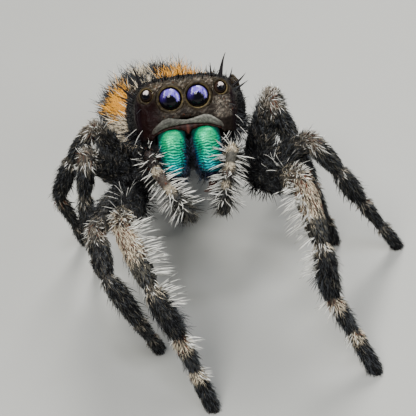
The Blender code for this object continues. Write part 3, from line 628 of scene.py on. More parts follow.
def trunkParts(soup):
    swollen = []
    for ring in ovoidRings(abdomenHalf * abdomen["skin"], 72, 44):
        share = ring[0][1] / abdomenHalf[1]
        swell = 1.0 + 0.06 * share - 0.06 * share * share
        swollen.append([fromAbdomen(p * np.array((swell, 1, swell))) for p in ring])
    joinRings(soup, swollen)
    sternum = ovoidRings((0.64, 1.7, 0.41), 36, 22)
    joinRings(soup, sternum, lambda p: fromBody(p + np.array((0, -0.1, -0.78))))
    for sign in sides.values():
        lobe = straightTube((0.30 * sign, -1.2, -0.95), (0.42 * sign, -2.15, -1.35), tubeGirths["lobe"],
                            (0.25, 0.28))
        joinRings(soup, lobe, fromBody)
    waist = straightTube(fromBody((0, 1.1, -0.75)), fromAbdomen((0, -abdomenHalf[1] * 0.86, -0.2)),
                         tubeGirths["waist"], (0.25, 0.28))
    joinRings(soup, waist)
    # The soft side between the head shell and the leg roots
    flank = straightTube((0, -2.2, -0.12), (0, 1.9, -0.2), tubeGirths["flank"], (0.42, 1.78), 48)
    joinRings(soup, flank, fromBody)
    tail = abdomenHalf[1]
    knob = straightTube((0, tail - 0.35, -0.30), (0, tail + 0.65, -0.30), tubeGirths["knob"], (0.24, 0.40))
    joinRings(soup, knob, fromAbdomen)
    for across, height, length in spinnerets:
        finger = straightTube((across, tail + 0.42, height - 0.3),
                              (across * 1.3, tail + 0.65 + length, height * 1.3 - 0.3),
                              tubeGirths["spinneret"], (.15, .15))
        joinRings(soup, finger, fromAbdomen)


skinMesh = {
    "stations": 22,
    "sides": 26,
    "ball": 0.92,         # share of a limb's radius that its joints' balls have
    "voxel": 0.068,
    "soften": 3,
    "lowest": 0.02,
}


def makeSkin():
    soup = ([], [])
    for part in segments:
        joinRings(soup, segmentRings(part, skinMesh["stations"], skinMesh["sides"]))
    for part in segments:
        # A ball fills each joint, so that a bent one has no wedge open on its outer side
        factor = girthAt(part, 0.0) * skinMesh["ball"]
        ball = ovoidRings((part["radii"].min() * factor,) * 3, 18, 10)
        joinRings(soup, ball, lambda p: p + part["start"])
    trunkParts(soup)
    skin = closedObject("skin", soup, skinMaterial)
    remeshed(skin, skinMesh["voxel"], skinMesh["soften"])
    keepAbove(skin, skinMesh["lowest"])
    return skin


skin = makeSkin()
print("skin has", len(skin.data.polygons), "faces")


def nearestSegment(points):
    # For each point: its segment's index, share along it, and angle round it (0 on the outer side)
    best = np.full(len(points), 1e9)
    index = np.zeros(len(points), int)
    share = np.zeros(len(points))
    angle = np.zeros(len(points))
    for k, part in enumerate(segments):
        offset = points - part["start"]
        t = offset @ part["along"] / part["length"]
        side = offset - np.outer(np.clip(t, -0.08, 1.06) * part["length"], part["along"])
        thick = girthAt(part, t) * part["radii"].mean()
        gap = np.linalg.norm(side, axis=1) - thick
        gap += 0.4 * np.maximum(0, np.abs(t - 0.5) - 0.5) * part["length"]
        closer = gap < best
        best[closer] = gap[closer]
        index[closer] = k
        share[closer] = np.clip(t[closer], 0, 1)
        angle[closer] = np.degrees(np.arctan2(side[closer] @ part["wide"], side[closer] @ part["deep"]))
    return index, share, angle, best


def abdomenShares(points):
    # Shares of cream, orange, grey and black on the rear body
    place = toAbdomen(points) / abdomenHalf
    x, y, z = place.T
    y = y + 0.05 * ripple(points, 0.9, 5)
    up = blendOver(-0.35, 0.25, z)
    band = (0.75 + 0.25 * blendOver(-0.95, -0.78, y)) * (1 - blendOver(-0.30, -0.02, y)) * up
    flank = blendOver(0.36, 0.52, np.abs(x)) * blendOver(-0.52, -0.38, y) * (1 - blendOver(0.02, 0.18, y))
    flank *= blendOver(0.32, 0.52, z)
    spot = 1 - blendOver(0.14, 0.26, np.abs(x - 0.30) + 0.6 * np.abs(y + 0.28))
    spot *= up
    middle = 1 - blendOver(0.14, 0.24, np.abs(x) + 0.7 * np.abs(y - 0.28))
    rear = 1 - blendOver(0.07, 0.13, np.hypot(np.abs(x) - 0.26, 0.8 * (y - 0.60)))
    stripes = (1 - blendOver(0.05, 0.09, np.abs(np.abs(x) - 0.62 + 0.4 * (y - 0.1)))) * (y > 0.2) * up * 0.6
    cream = np.clip(band * 0.72 + stripes + rear * up * 0.9 + middle * up * 0.9, 0, 0.9)
    orange = np.clip(np.maximum(flank, spot), 0, 0.92)
    cream = cream * (1 - orange)
    rest = 1 - cream - orange
    lift = 0.5 + 0.2 * ripple(points, 0.7, 9)
    return np.stack((cream, orange, rest * lift * 0.8, rest * (1 - lift * 0.8)), axis=1)


abdomenTones = np.array([tones["cream"], tones["orange"], tones["grey"], tones["black"]])


def readSurface(thing):
    # Face centres, normals and areas in millimetres
    faces = thing.data.polygons
    return dict(centre=gather(faces, "center"), normal=gather(faces, "normal"), area=gather(faces, "area", 1))


def onTrunk(points, gap):
    # 0 limb, 1 rear body, 2 the rest of the trunk
    place = toAbdomen(points) / abdomenHalf
    inRear = np.linalg.norm(place, axis=1) < 1.12
    body = toBody(points)
    low = (np.abs(body[:, 0]) < 0.8) & (np.abs(body[:, 2] + 0.8) < 0.75) & (gap > 0.05)
    low |= (body[:, 2] > -0.65) & (body[:, 2] < 0.35) & (np.abs(body[:, 1] + 0.15) < 2.2) & (gap > 0.05)
    tail = place[:, 1] > 0.95
    return np.where(inRear | tail, 1, np.where(low, 2, 0))


def markSkin(points):
    index, share, angle, gap = nearestSegment(points)
    zone = onTrunk(points, gap)
    colours = np.zeros((len(points), 3))
    for k, part in enumerate(segments):
        mine = (index == k) & (zone == 0)
        colours[mine] = markWeights(part["marks"], share[mine]) @ limbTones(part["limb"])
    rear = zone == 1
    colours[rear] = abdomenShares(points[rear]) @ abdomenTones
    colours[zone == 2] = tones["grey"]
    depth = 0.34 + 0.10 * ripple(points, 0.25, 3)
    depth = np.where(zone == 1, depth * 0.8, depth)
    palp = np.isin(index, [k for k, part in enumerate(segments) if part["limb"].startswith("palp")])
    depth = np.where(palp & (zone == 0), 0.62 + 0.1 * ripple(points, 0.2, 4), depth)
    return colours * depth[:, None]


paint(skin, markSkin(pointsOf(skin)))
skinFaces = readSurface(skin)
limbIndex, limbShare, limbAngle, limbGap = nearestSegment(skinFaces["centre"])
skinFaces["zone"] = onTrunk(skinFaces["centre"], limbGap)
fleshNodes = [node for node in frame["nodes"]
              if node.startswith(("leg", "palp")) or node in ("sternum", "abdomen", "spinnerets")]
finished(skin, "leg", *sorted(fleshNodes))


# Head shell

head = {
    "length": 5.9,
    "squareness": 0.62,
    "waist": 0.36,
    "browRise": 0.05,
    "voxel": 0.045,
    "soften": 5,
}
# Share of the length, half width, height, arch of the lower edge
headStations = np.array((
    (0.0, 1.40, 1.80, 0.85), (0.025, 1.66, 2.08, 0.80), (0.08, 1.82, 2.24, 0.72), (0.18, 1.91, 2.29, 0.50),
    (0.32, 2.03, 2.33, 0.18), (0.45, 2.16, 2.32, 0.0), (0.58, 2.23, 2.19, 0.0), (0.72, 2.14, 1.82, 0.0),
    (0.85, 1.75, 1.25, 0.0), (0.94, 1.20, 0.80, 0.0), (1.0, 0.62, 0.50, 0.05),
))
# Radius, lens centre and facing of the left one, and the width of its rim
eyes = {
    "main": (0.41, (0.485, -2.52, 1.55), (0.04, -1.0, 0.02), 0.060),
    "side": (0.22, (1.30, -2.30, 1.74), (0.35, -1.0, 0.12), 0.045),
    "middle": (0.10, (1.83, -1.35, 1.86), (1.0, -0.15, 0.25), 0.030),
    "rear": (0.20, (1.90, -0.45, 1.86), (1.0, 0.25, 0.35), 0.042),
}
eyeGap = 0.11
socketDepth = 0.55
lensShare = 0.92


def headRing(y, halfWidth, height, arch):
    waist = head["waist"] * height
    ring = []
    for i in range(97):
        angle = math.pi * i / 96
        across = math.copysign(abs(math.cos(angle)) ** head["squareness"], math.cos(angle))
        ring.append((halfWidth * across, y, waist + (height - waist) * math.sin(angle) ** head["squareness"]))
    for i in range(1, 40):
        x = -halfWidth * 0.93 * math.cos(math.pi * i / 40)
        share = x / halfWidth
        ring.append((x, y, arch * (1 - share * share)))
    return [np.array(p) for p in ring]


def eyeAxes(place, facing, sign):
    # Centre, and axes whose third looks out of the eye and whose second points up
    out = unit(mirrored(facing, sign))
    up = np.array((0.0, 0.0, 1.0))
    up = unit(up - out * (up @ out))
    return mirrored(place, sign), np.cross(up, out), up, out


def everyEye():
    for name, (radius, place, facing, width) in eyes.items():
        for side, sign in sides.items():
            yield name, side, radius, width, eyeAxes(place, facing, sign)


def discRings(centre, right, up, out, rows, count):
    turns = np.arange(count) * 2 * math.pi / count
    return [[centre + out * height + (right * math.cos(t) + up * math.sin(t)) * radius for t in turns]
            for height, radius in rows]


def makeHead():
    shares = np.concatenate((np.linspace(0, 0.1, 14), np.linspace(0.12, 1.0, 60)))
    rings = []
    for share in shares:
        row = [np.interp(share, headStations[:, 0], headStations[:, k]) for k in (1, 2, 3)]
        rings.append(headRing(stance["faceY"] + share * head["length"], *row))
    soup = ([], [])
    joinRings(soup, rings)
    shell = closedObject("headShell", soup, shellMaterial)
    cutters = bpy.data.collections.new("sockets")
    bpy.context.scene.collection.children.link(cutters)
    for name, side, radius, width, axes in everyEye():
        wall = radius + eyeGap
        rows = ((-radius * socketDepth - eyeGap, wall), (radius * 3, wall))
        soup = ([], [])
        joinRings(soup, discRings(*axes, rows, 40))
        cutter = closedObject("socket", soup)
        bpy.context.collection.objects.unlink(cutter)
        cutters.objects.link(cutter)
    cut = shell.modifiers.new("sockets", "BOOLEAN")
    cut.operand_type = "COLLECTION"
    cut.collection = cutters
    cut.operation = "DIFFERENCE"
    cut.solver = "EXACT"
    applied(shell)
    for thing in list(cutters.objects):
        bpy.data.objects.remove(thing)
    bpy.data.collections.remove(cutters)
    remeshed(shell, head["voxel"], head["soften"])
    shapeFace(shell)
    return shell


def shapeFace(shell):
    points = pointsOf(shell)
    normals = gather(shell.data.vertices, "normal")
    x, y, z = points.T
    front = 1 - blendOver(-2.72, -2.45, y)
    # A sharp brow, hollow cheeks under the side eyes, and a swelling under the main ones
    brow = np.exp(-((z - 2.16) / 0.10) ** 2) * (1 - blendOver(-2.5, -2.1, y))
    cheek = np.exp(-((np.abs(x) - 1.15) / 0.28) ** 2 - ((z - 1.15) / 0.3) ** 2) * front
    under = np.exp(-(x / 0.75) ** 2 - ((z - 0.98) / 0.14) ** 2) * front
    move = head["browRise"] * brow - 0.05 * cheek + 0.04 * under
    move += 0.012 * ripple(points, 0.32, 11) + 0.006 * ripple(points, 0.12, 12)
    setPoints(shell, points + normals * move[:, None])


faceTones = {
    "dark": (0.008, 0.005, 0.0035),
    "brow": (0.004, 0.003, 0.0025),
    "olive": (0.055, 0.043, 0.026),
    "maroon": (0.006, 0.0005, 0.0007),
    "plum": (0.006, 0.0015, 0.004),
    "greyTan": (0.075, 0.061, 0.048),
    "brownGrey": (0.014, 0.0105, 0.008),
    "fleck": (0.22, 0.19, 0.15),
    "rear": (0.006, 0.005, 0.005),
}


def mixIn(colours, tone, weight):
    return colours * (1 - weight[:, None]) + np.array(tone) * weight[:, None]


def markHead(points):
    x, y, z = points.T
    colours = np.tile(np.array(faceTones["dark"]), (len(points), 1))
    front = 1 - blendOver(-2.5, -1.9, y)
    speckle = 0.5 + 0.5 * ripple(points, 0.16, 21)
    patch = 0.5 + 0.5 * ripple(points, 0.5, 22)
    fleck = blendOver(0.15, 0.55, ripple(points, 0.13, 24)) * (0.4 + 0.6 * patch)
    colours = mixIn(colours, faceTones["rear"], blendOver(-2.2, -1.2, y))
    low = blendOver(0.75, 0.9, z) * (1 - blendOver(1.12, 1.3, z)) * front
    colours = mixIn(colours, faceTones["brownGrey"], low * (0.35 + 0.5 * patch) * (np.abs(x) < 1.3))
    left = blendOver(0.95, 1.15, x) * blendOver(0.62, 0.8, z) * (1 - blendOver(1.36, 1.52, z)) * front
    left *= 1 - blendOver(1.50, 1.70, x)
    colours = mixIn(colours, faceTones["greyTan"], left * (0.3 + 0.65 * speckle))
    right = blendOver(0.8, 1.1, -x) * (1 - blendOver(1.35, 1.6, z)) * front
    colours = mixIn(colours, faceTones["maroon"], right * (0.55 + 0.4 * patch))
    edge = blendOver(1.55, 1.72, np.abs(x)) * (1 - blendOver(1.5, 2.0, z)) * front
    colours = mixIn(colours, faceTones["plum"], edge * 0.9)
    band = np.exp(-((z - 2.02) / 0.19) ** 2) * (np.abs(x) < 1.75) * front
    colours = mixIn(colours, faceTones["olive"], band * (0.2 + 0.75 * speckle))
    for name, side, radius, width, axes in everyEye():
        away = np.linalg.norm(points - axes[0], axis=1)
        ring = 1 - blendOver(radius + 0.10, radius + 0.24, away)
        colours = mixIn(colours, faceTones["olive"], ring * (0.2 + 0.5 * speckle))
    spread = np.clip(band * 0.8 + left * 0.8 + low * (x > -0.9) * 0.22, 0, 0.85)
    colours = mixIn(colours, faceTones["fleck"], spread * fleck)
    return mixIn(colours, faceTones["brow"], blendOver(2.16, 2.25, z) * (1 - blendOver(-1.9, -1.2, y)))


shell = makeHead()
paint(shell, markHead(pointsOf(shell)))
headFaces = readSurface(shell)
seated(shell, "shell", "carapace")
print("head shell has", len(shell.data.polygons), "faces")


# Eyes

# Lens and rim tones, with the colours of the lenses' painted reflections and highlights
eyeTonesAndPaintedGlare = {
    # The violet, deep and streak tones paint the reflection in the main eyes, and the pale tone paints the
    # highlight in the others
    "reflectedViolet": (0.13, 0.09, 0.50),
    "deep": (0.030, 0.014, 0.13),
    "reflectedStreak": (0.56, 0.52, 0.84),
    "pupil": (0.003, 0.003, 0.005),
    "amber": (0.05, 0.03, 0.02),
    "pale": (0.62, 0.55, 0.52),
    "gold": (0.20, 0.15, 0.06),
}


def lensColours(name, a, b):
    # a runs across and b up the lens, both in shares of its radius
    away = np.hypot(a, b)
    colours = np.tile(np.array(eyeTonesAndPaintedGlare["pupil"]), (len(a), 1))
    if name != "main":
        ring = blendOver(0.55, 0.9, away) * 0.7
        colours = mixIn(colours, eyeTonesAndPaintedGlare["amber"], ring)
        # A painted highlight high on the lens, with a dark bite in it, fainter on the middle and rear eyes
        light = blendOver(0.1, 0.3, b) * (1 - blendOver(0.38, 0.52, np.hypot(a - 0.05, b - 0.42)))
        light *= 1 - 0.8 * np.exp(-((a + 0.02) / 0.12) ** 2 - ((b - 0.16) / 0.14) ** 2)
        return mixIn(colours, eyeTonesAndPaintedGlare["pale"], light * (0.9 if name == "side" else 0.3))
    # The painted reflection of a bright window: its lower edge is ragged, highest over the pupil, lowest on
    # the right
    edge = np.interp(a, (-0.95, -0.72, -0.5, -0.36, -0.2, 0.0, 0.25, 0.42, 0.55, 0.72, 0.85, 0.95),
                     (0.30, 0.08, 0.02, 0.20, 0.24, 0.32, 0.22, 0.0, -0.28, -0.36, -0.12, 0.1))
    edge = edge + 0.05 * np.sin(a * 31) + 0.035 * np.sign(np.sin(a * 19))
    paintedReflection = blendOver(0.0, 0.06, b - edge) * (1 - blendOver(0.76, 0.87, away))
    # A painted dark blue-violet sheen, low on the left of the lens
    paintedSheen = blendOver(-0.45, 0.1, b) * blendOver(0.2, 0.7, -a) * (1 - blendOver(0.88, 0.95, away))
    colours = mixIn(colours, eyeTonesAndPaintedGlare["deep"], paintedSheen * 0.7)
    colours = mixIn(colours, eyeTonesAndPaintedGlare["deep"], paintedReflection)
    colours = mixIn(colours, eyeTonesAndPaintedGlare["reflectedViolet"], paintedReflection * blendOver(-0.46, -0.30, a + 0.12 * b))
    # A dark stripe painted through the reflection
    gap = np.exp(-((a - 0.50 + 0.12 * b) / 0.04) ** 2) * paintedReflection
    colours = mixIn(colours, eyeTonesAndPaintedGlare["deep"], gap * 0.8)
    # Painted streaks of light within the reflection
    reflectedStreaks = np.exp(-((a + 0.56 - 0.25 * b - 0.03 * np.sin(b * 23)) / 0.055) ** 2) * 0.75
    reflectedStreaks *= blendOver(0.0, 0.3, b)
    reflectedStreaks += np.exp(-((a - 0.22 - 0.3 * (b - 0.4)) / 0.20) ** 2) * 0.42 * blendOver(0.30, 0.75, b)
    reflectedStreaks += np.exp(-((a - 0.68 + 0.15 * b + 0.03 * np.sin(b * 27)) / 0.06) ** 2) * 0.8 * (b < 0.36)
    reflectedStreaks += np.exp(-((a - 0.05) / 0.12) ** 2 - ((b - 0.42) / 0.06) ** 2) * 0.45
    reflectedStreaks += 0.14 * np.sin(a * 23 + b * 9) * np.sin(b * 19 - a * 6)
    return mixIn(colours, eyeTonesAndPaintedGlare["reflectedStreak"], np.clip(reflectedStreaks, 0, 1) * paintedReflection)


def makeEye(name, side, radius, axes):
    centre, right, up, out = axes
    rows = [(-socketDepth * radius, radius * 0.9), (-socketDepth * 0.8 * radius, radius)]
    count = 28
    for i in range(count):
        angle = math.pi / 2 * i / count
        rows.append((radius * lensShare * math.sin(angle), radius * math.cos(angle)))
    soup = ([], [])
    joinRings(soup, discRings(*axes, rows, 72))
    # The last fan's point goes to the pole of the dome
    soup[0][-1] = centre + out * radius * lensShare
    thing = closedObject("eye_{}_{}_lens".format(name, side), soup, lensMaterial)
    offset = pointsOf(thing) - centre
    paint(thing, lensColours(name, offset @ right / radius, offset @ up / radius))
    seated(thing, "lens", "eye_{}_{}".format(name, side))


def makeRim(name, side, radius, width, axes):
    centre, right, up, out = axes
    # A rounded ring that closes the socket round the lens
    points = []
    faces = []
    gold = []
    scaly = []
    count = 72
    steps = 20
    # The lens leans out of the face, so the ring sits where the socket's mouth is
    height = radius * (0.16 if name == "main" else 0.2)
    for i in range(count):
        turn = 2 * math.pi * i / count
        way = right * math.cos(turn) + up * math.sin(turn)
        for k in range(steps):
            tilt = 2 * math.pi * k / steps
            reach = radius + eyeGap * 0.52 + width * math.cos(tilt) * 1.15
            points.append(centre + way * reach + out * (height + width * 1.3 * math.sin(tilt)))
            # Golden along the crest of its inner half, brightest low on the outer side
            crest = math.exp(-((math.degrees(tilt) - 122) / 15) ** 2)
            glow = 0.5 + 0.32 * math.cos(turn + 0.9 * sides[side])
            glow += 0.2 * math.sin(turn * 9 + 2 * math.sin(turn * 4))
            gold.append(crest * max(0.15, glow))
            scaly.append(float(blendOver(-0.25, 0.1, math.cos(tilt))))
    for i in range(count):
        for k in range(steps):
            a = i * steps
            b = (i + 1) % count * steps
            j = (k + 1) % steps
            faces.append((a + k, b + k, b + j, a + j))
    thing = closedObject("eye_{}_{}_rim".format(name, side), (points, faces), rimMaterial)
    tone = np.tile(np.array(faceTones["dark"]) * 0.6, (len(gold), 1))
    # Its outer slope carries the scales of the face
    speckle = 0.5 + 0.5 * ripple(np.array(points), 0.10, 25)
    tone = mixIn(tone, faceTones["olive"], np.array(scaly) * (0.15 + 0.75 * speckle))
    paint(thing, mixIn(tone, eyeTonesAndPaintedGlare["gold"], np.array(gold)))
    seated(thing, "shell")


for eyeName, side, radius, width, axes in everyEye():
    makeEye(eyeName, side, radius, axes)
    makeRim(eyeName, side, radius, width, axes)
print("eyes are in")


# Pale lip under the face

lip = {
    "halfWidth": 1.38,
    # Share of the half width against height: the pale band's edges, and the lower edge of the brown hem
    "top": ((0.0, 0.75), (0.15, 0.78), (0.45, 0.88), (0.62, 0.83), (0.85, 0.59), (1.0, 0.41)),
    "edge": ((0.0, 0.59), (0.2, 0.58), (0.47, 0.54), (0.7, 0.45), (0.9, 0.33), (1.0, 0.26)),
    "hem": ((0.0, 0.22), (0.10, 0.36), (0.3, 0.44), (0.47, 0.45), (0.7, 0.37), (0.9, 0.25), (1.0, 0.19)),
    "sweep": 0.13,         # how far its ends lie back
    "pale": (0.125, 0.125, 0.104),
    # The colour of the painted highlight along the lip's crest
    "paintedShine": (0.30, 0.29, 0.25),
    "brown": (0.016, 0.0045, 0.003),
}


def makeBand(name, upper, lower, y, thick, paintRow):
    # A closed strip right across the face; paintRow gives a colour for (share across, share down)
    points = []
    faces = []
    across = 121
    rows = 20
    colours = []
    for i in range(across):
        u = -1 + 2 * i / (across - 1)
        high = np.interp(abs(u), *zip(*upper))
        low = np.interp(abs(u), *zip(*lower))
        back = lip["sweep"] * float(blendOver(0.75, 1.0, abs(u)))
        for k in range(rows):
            v = 2 * math.pi * k / rows
            z = low + (high - low) * 0.5 * (1 + math.cos(v))
            points.append(np.array((lip["halfWidth"] * u, y + back - thick * math.sin(v), z)))
            colours.append(paintRow(u, 0.5 * (1 - math.cos(v))))
    for i in range(across - 1):
        for k in range(rows):
            j = (k + 1) % rows
            faces.append((i * rows + k, (i + 1) * rows + k, (i + 1) * rows + j, i * rows + j))
    faces.append(tuple(range(rows)))
    faces.append(tuple((across - 1) * rows + k for k in range(rows)))
    thing = closedObject(name, (points, faces), lipMaterial)
    paint(thing, np.array(colours))
    seated(thing, "shell")


def lipColour(u, down):
    # Creased, with painted shade darkening its folds, and uneven; duller on the spider's right from painted
    # shade
    fold = 0.5 + 0.5 * math.sin(u * 34 + 6 * math.sin(u * 9 + down * 4))
    fold *= 0.65 + 0.35 * math.sin(u * 71 + 9 * down) * math.sin(down * 13 + u * 5)
    tone = np.array(lip["pale"]) * (0.35 + 0.85 * fold) * (0.62 + 0.38 * float(blendOver(-0.6, 0.3, u)))
    # A painted highlight along the upper crest, stronger on the spider's left
    crest = math.exp(-((down - 0.13) / 0.07) ** 2) * (1 - float(blendOver(0.75, 1.0, abs(u))))
    crest *= 0.35 + 0.65 * float(blendOver(-0.3, 0.3, u))
    tone = tone * (1 - crest * 0.6) + np.array(lip["paintedShine"]) * crest * 0.6
    mix = max(float(blendOver(0.84, 0.98, down)), float(blendOver(0.72, 1.0, abs(u))) * 0.6)
    return tone * (1 - mix) + np.array(lip["brown"]) * mix


def hemColour(u, down):
    # A paler cord runs down the middle, between the tops of the jaws
    cord = math.exp(-(u / 0.035) ** 2)
    return np.array(lip["brown"]) * (1 + 2.6 * cord + 0.5 * math.sin(u * 41))


makeBand("clypeusLip", lip["top"], lip["edge"], -2.80, 0.055, lipColour)
makeBand("clypeusHem", lip["edge"], lip["hem"], -2.76, 0.05, hemColour)


# Jaws

jaw = {
    "top": (0.60, -2.55, 0.28),
    "tip": (0.68, -2.95, -1.55),
    "crown": 0.10,         # how far the rounded top goes past the solid's, as a share of the length
    "roundTop": 0.13,
    "roundTip": 0.16,
    "wrinkle": 0.018,
    "pitch": 0.098,
}
# Share of the length, half width, half depth
jawRadii = np.array(((-0.1, 0.49, 0.46), (0.05, 0.51, 0.54), (0.25, 0.51, 0.62), (0.5, 0.50, 0.60),
                     (0.75, 0.44, 0.50), (0.92, 0.36, 0.38), (1.0, 0.26, 0.28)))
jawTones = {
    "lime": (0.0, 0.38, 0.13),
    "green": (0.0, 0.49, 0.27),
    "teal": (0.0, 0.39, 0.35),
    "blue": (0.0, 0.12, 0.38),
    "plum": (0.040, 0.003, 0.024),
    "dark": (0.004, 0.005, 0.014),
}


def jawColours(across, share, front, crease):
    # across is -1 to 1 with the outer side at 1, share runs from top to tip, crease is -1 in a wrinkle's bed
    colours = np.tile(np.array(jawTones["green"]), (len(across), 1))
    patch = 0.5 + 0.5 * np.sin(across * 7 + share * 9) * np.sin(share * 17 + across * 3)
    colours = mixIn(colours, jawTones["lime"], (1 - blendOver(0.1, 0.42, share)) * (0.4 + 0.5 * patch))
    edge = blendOver(0.60, 0.90, np.abs(across))
    colours = mixIn(colours, jawTones["teal"], blendOver(0.30, 0.58, share) * 0.7)
    colours = mixIn(colours, jawTones["teal"], edge * 0.65)
    colours = mixIn(colours, jawTones["blue"], edge * blendOver(0.05, 0.45, share) * 0.9)
    colours = mixIn(colours, jawTones["blue"], blendOver(0.50, 0.68, share) * 0.35)
    # Painted shade darkens the beds of the wrinkles
    colours = colours * (1 - 0.78 * blendOver(0.1, -0.8, crease) * blendOver(-0.05, 0.25, share))[:, None]
    colours = mixIn(colours, jawTones["dark"], blendOver(0.66, 0.82, share))
    # The top corners are rounded off by their dark flanks
    corner = blendOver(0.74, 1.02, np.abs(across) + 2.2 * np.clip(0.14 - share, 0, 0.2))
    colours = mixIn(colours, jawTones["dark"], corner * 0.85)
    rear = 1 - blendOver(0.08, 0.42, front)
    return mixIn(colours, jawTones["plum"], np.clip(rear + blendOver(0.93, 1.02, np.abs(across)) * 0.9, 0, 1))


def makeJaw(side):
    sign = sides[side]
    top = mirrored(jaw["top"], sign)
    tip = mirrored(jaw["tip"], sign)
    stations = 150
    count = 72
    rings = []
    across = []
    along = []
    front = []
    crease = []
    for i in range(stations):
        share = -jaw["crown"] + (1 + jaw["crown"]) * i / (stations - 1)
        halfWidth = np.interp(share, jawRadii[:, 0], jawRadii[:, 1])
        halfDepth = np.interp(share, jawRadii[:, 0], jawRadii[:, 2])
        # Both ends close in a round
        above = max(0.0, 1 - (share + jaw["crown"]) / jaw["roundTop"])
        below = max(0.0, 1 - (1 - share) / jaw["roundTip"])
        close = math.sqrt(max(0.0, 1 - above ** 3)) * math.sqrt(max(0.0, 1 - below ** 2.4)) + 0.02
        centre = top + (tip - top) * share
        ring = []
        for k in range(count):
            turn = 2 * math.pi * k / count
            x = math.cos(turn)
            ahead = -math.sin(turn)
            wave = math.sin(2 * math.pi * (share * 1.87 / jaw["pitch"] + 0.32 * math.sin(x * 5.2 + share * 9)
                                           + 0.16 * math.sin(x * 13 - share * 21)))
            depth = jaw["wrinkle"] * wave * max(0.0, ahead) ** 0.5 * float(blendOver(0.0, 0.35, share))
            grow = 1 + depth / 0.5
            # A squarer front, so that the green face fills its width
            broad = math.copysign(abs(x) ** 0.86, x)
            ring.append(centre + np.array((halfWidth * broad, halfDepth * math.sin(turn), 0)) * close * grow)
            across.append(x * sign)
            along.append(share)
            front.append(ahead)
            crease.append(wave)
        rings.append(ring)
    soup = ([], [])
    joinRings(soup, rings)
    for share in (0.0, 1.0):
        across.append(0.0)
        along.append(share)
        front.append(0.3)
        crease.append(0.0)
    thing = closedObject("jaw_{}_green".format(side), soup, jawMaterial)
    paint(thing, jawColours(np.array(across), np.array(along), np.array(front), np.array(crease)))
    seated(thing, "jaw", "jaw_{}".format(side))


def curvedTube(path, radii, count, stations):
    # A round tube along a smooth curve through the path's points
    path = np.array(path, float)
    knots = np.linspace(0, 1, len(path))
    shares = np.linspace(0, 1, stations)
    fit = [np.polyfit(knots, path[:, k], min(3, len(path) - 1)) for k in range(3)]
    centres = np.stack([np.polyval(f, shares) for f in fit], axis=1)
    along = unit(np.gradient(centres, axis=0))
    aside = unit(np.cross(along, np.array((0.31, 0.22, 0.92))))
    other = np.cross(along, aside)
    thick = np.interp(shares, np.linspace(0, 1, len(radii)), radii)
    turns = np.arange(count) * 2 * math.pi / count
    return [[centres[i] + (aside[i] * math.cos(t) + other[i] * math.sin(t)) * thick[i] for t in turns]
            for i in range(stations)]


fang = {
    "path": ((0.66, -2.95, -1.30), (0.64, -2.93, -1.62), (0.50, -2.78, -1.82), (0.30, -2.6, -1.86)),
    "radii": (0.19, 0.16, 0.10, 0.02),
}


def makeFang(side):
    path = [mirrored(point, sides[side]) for point in fang["path"]]
    soup = ([], [])
    joinRings(soup, curvedTube(path, fang["radii"], 20, 26))
    seated(closedObject("fang_{}".format(side), soup, fangMaterial), "jaw")


for side in sides:
    makeJaw(side)
    makeFang(side)
print("jaws are in")


# The coat: tapered hairs grown from chosen faces of a surface

hair = {
    "rootDepth": 0.04,     # under the skin, at most
    "rootShare": 0.06,     # the same as a share of the length
    "flat": 0.55,          # thickness against width
    "taper": 0.72,
    "scatter": 0.02,       # of the roots round the middle of their face
    "lowest": 0.004,
    "patch": 0.003,        # one hair's size on the unwrap
    "margin": 0.02,        # round the unwrap
    "jitter": 0.18,        # of the marks' brightness
    "density": 1.0,
}
seeds = {"leg": 100, "palp": 200, "abdomen": 300, "head": 400, "jaws": 450, "spines": 500}


def strands(roots, outs, lies, length, width, rise, curl, steps):
    # Points of every hair: rings of three that bend from `outs` towards `lies`, then a tip
    flat = hair["flat"]
    across = unit(np.cross(outs, lies))
    spot = roots - outs * np.minimum(hair["rootDepth"], length * hair["rootShare"])[:, None]
    # Lying hair bends over, standing hair stays straight
    bend = np.interp(rise, (0.35, 0.75), (0.6, 0.28))
    rings = []
    for i in range(steps):
        share = i / steps
        up = (rise * (1 - bend * share))[:, None]
        heading = unit(outs * up + lies * (1 - up) + across * (curl * (0.3 + share))[:, None])
        wide = unit(np.cross(heading, outs + lies * 0.01))
        wide = np.where(np.abs(np.sum(heading * outs, axis=1))[:, None] > 0.97, across, wide)
        thin = np.cross(wide, heading)
        half = (width / 2 * (1 - hair["taper"] * share ** 1.4))[:, None]
        ring = [spot + wide * half, spot - wide * half * 0.5 + thin * half * flat,
                spot - wide * half * 0.5 - thin * half * flat]
        rings.append(np.stack(ring, axis=1))
        spot = spot + heading * (length / steps)[:, None]
    rings.append(spot[:, None, :])
    return np.concatenate(rings, axis=1)


def strandFaces(steps):
    faces = [(0, 2, 1)]
    for k in range(steps - 1):
        for i in range(3):
            j = (i + 1) % 3
            a = k * 3
            faces.append((a + i, a + j, a + 3 + j))
            faces.append((a + i, a + 3 + j, a + 3 + i))
    last = (steps - 1) * 3
    for i in range(3):
        faces.append((last + i, last + (i + 1) % 3, last + 3))
    return np.array(faces)


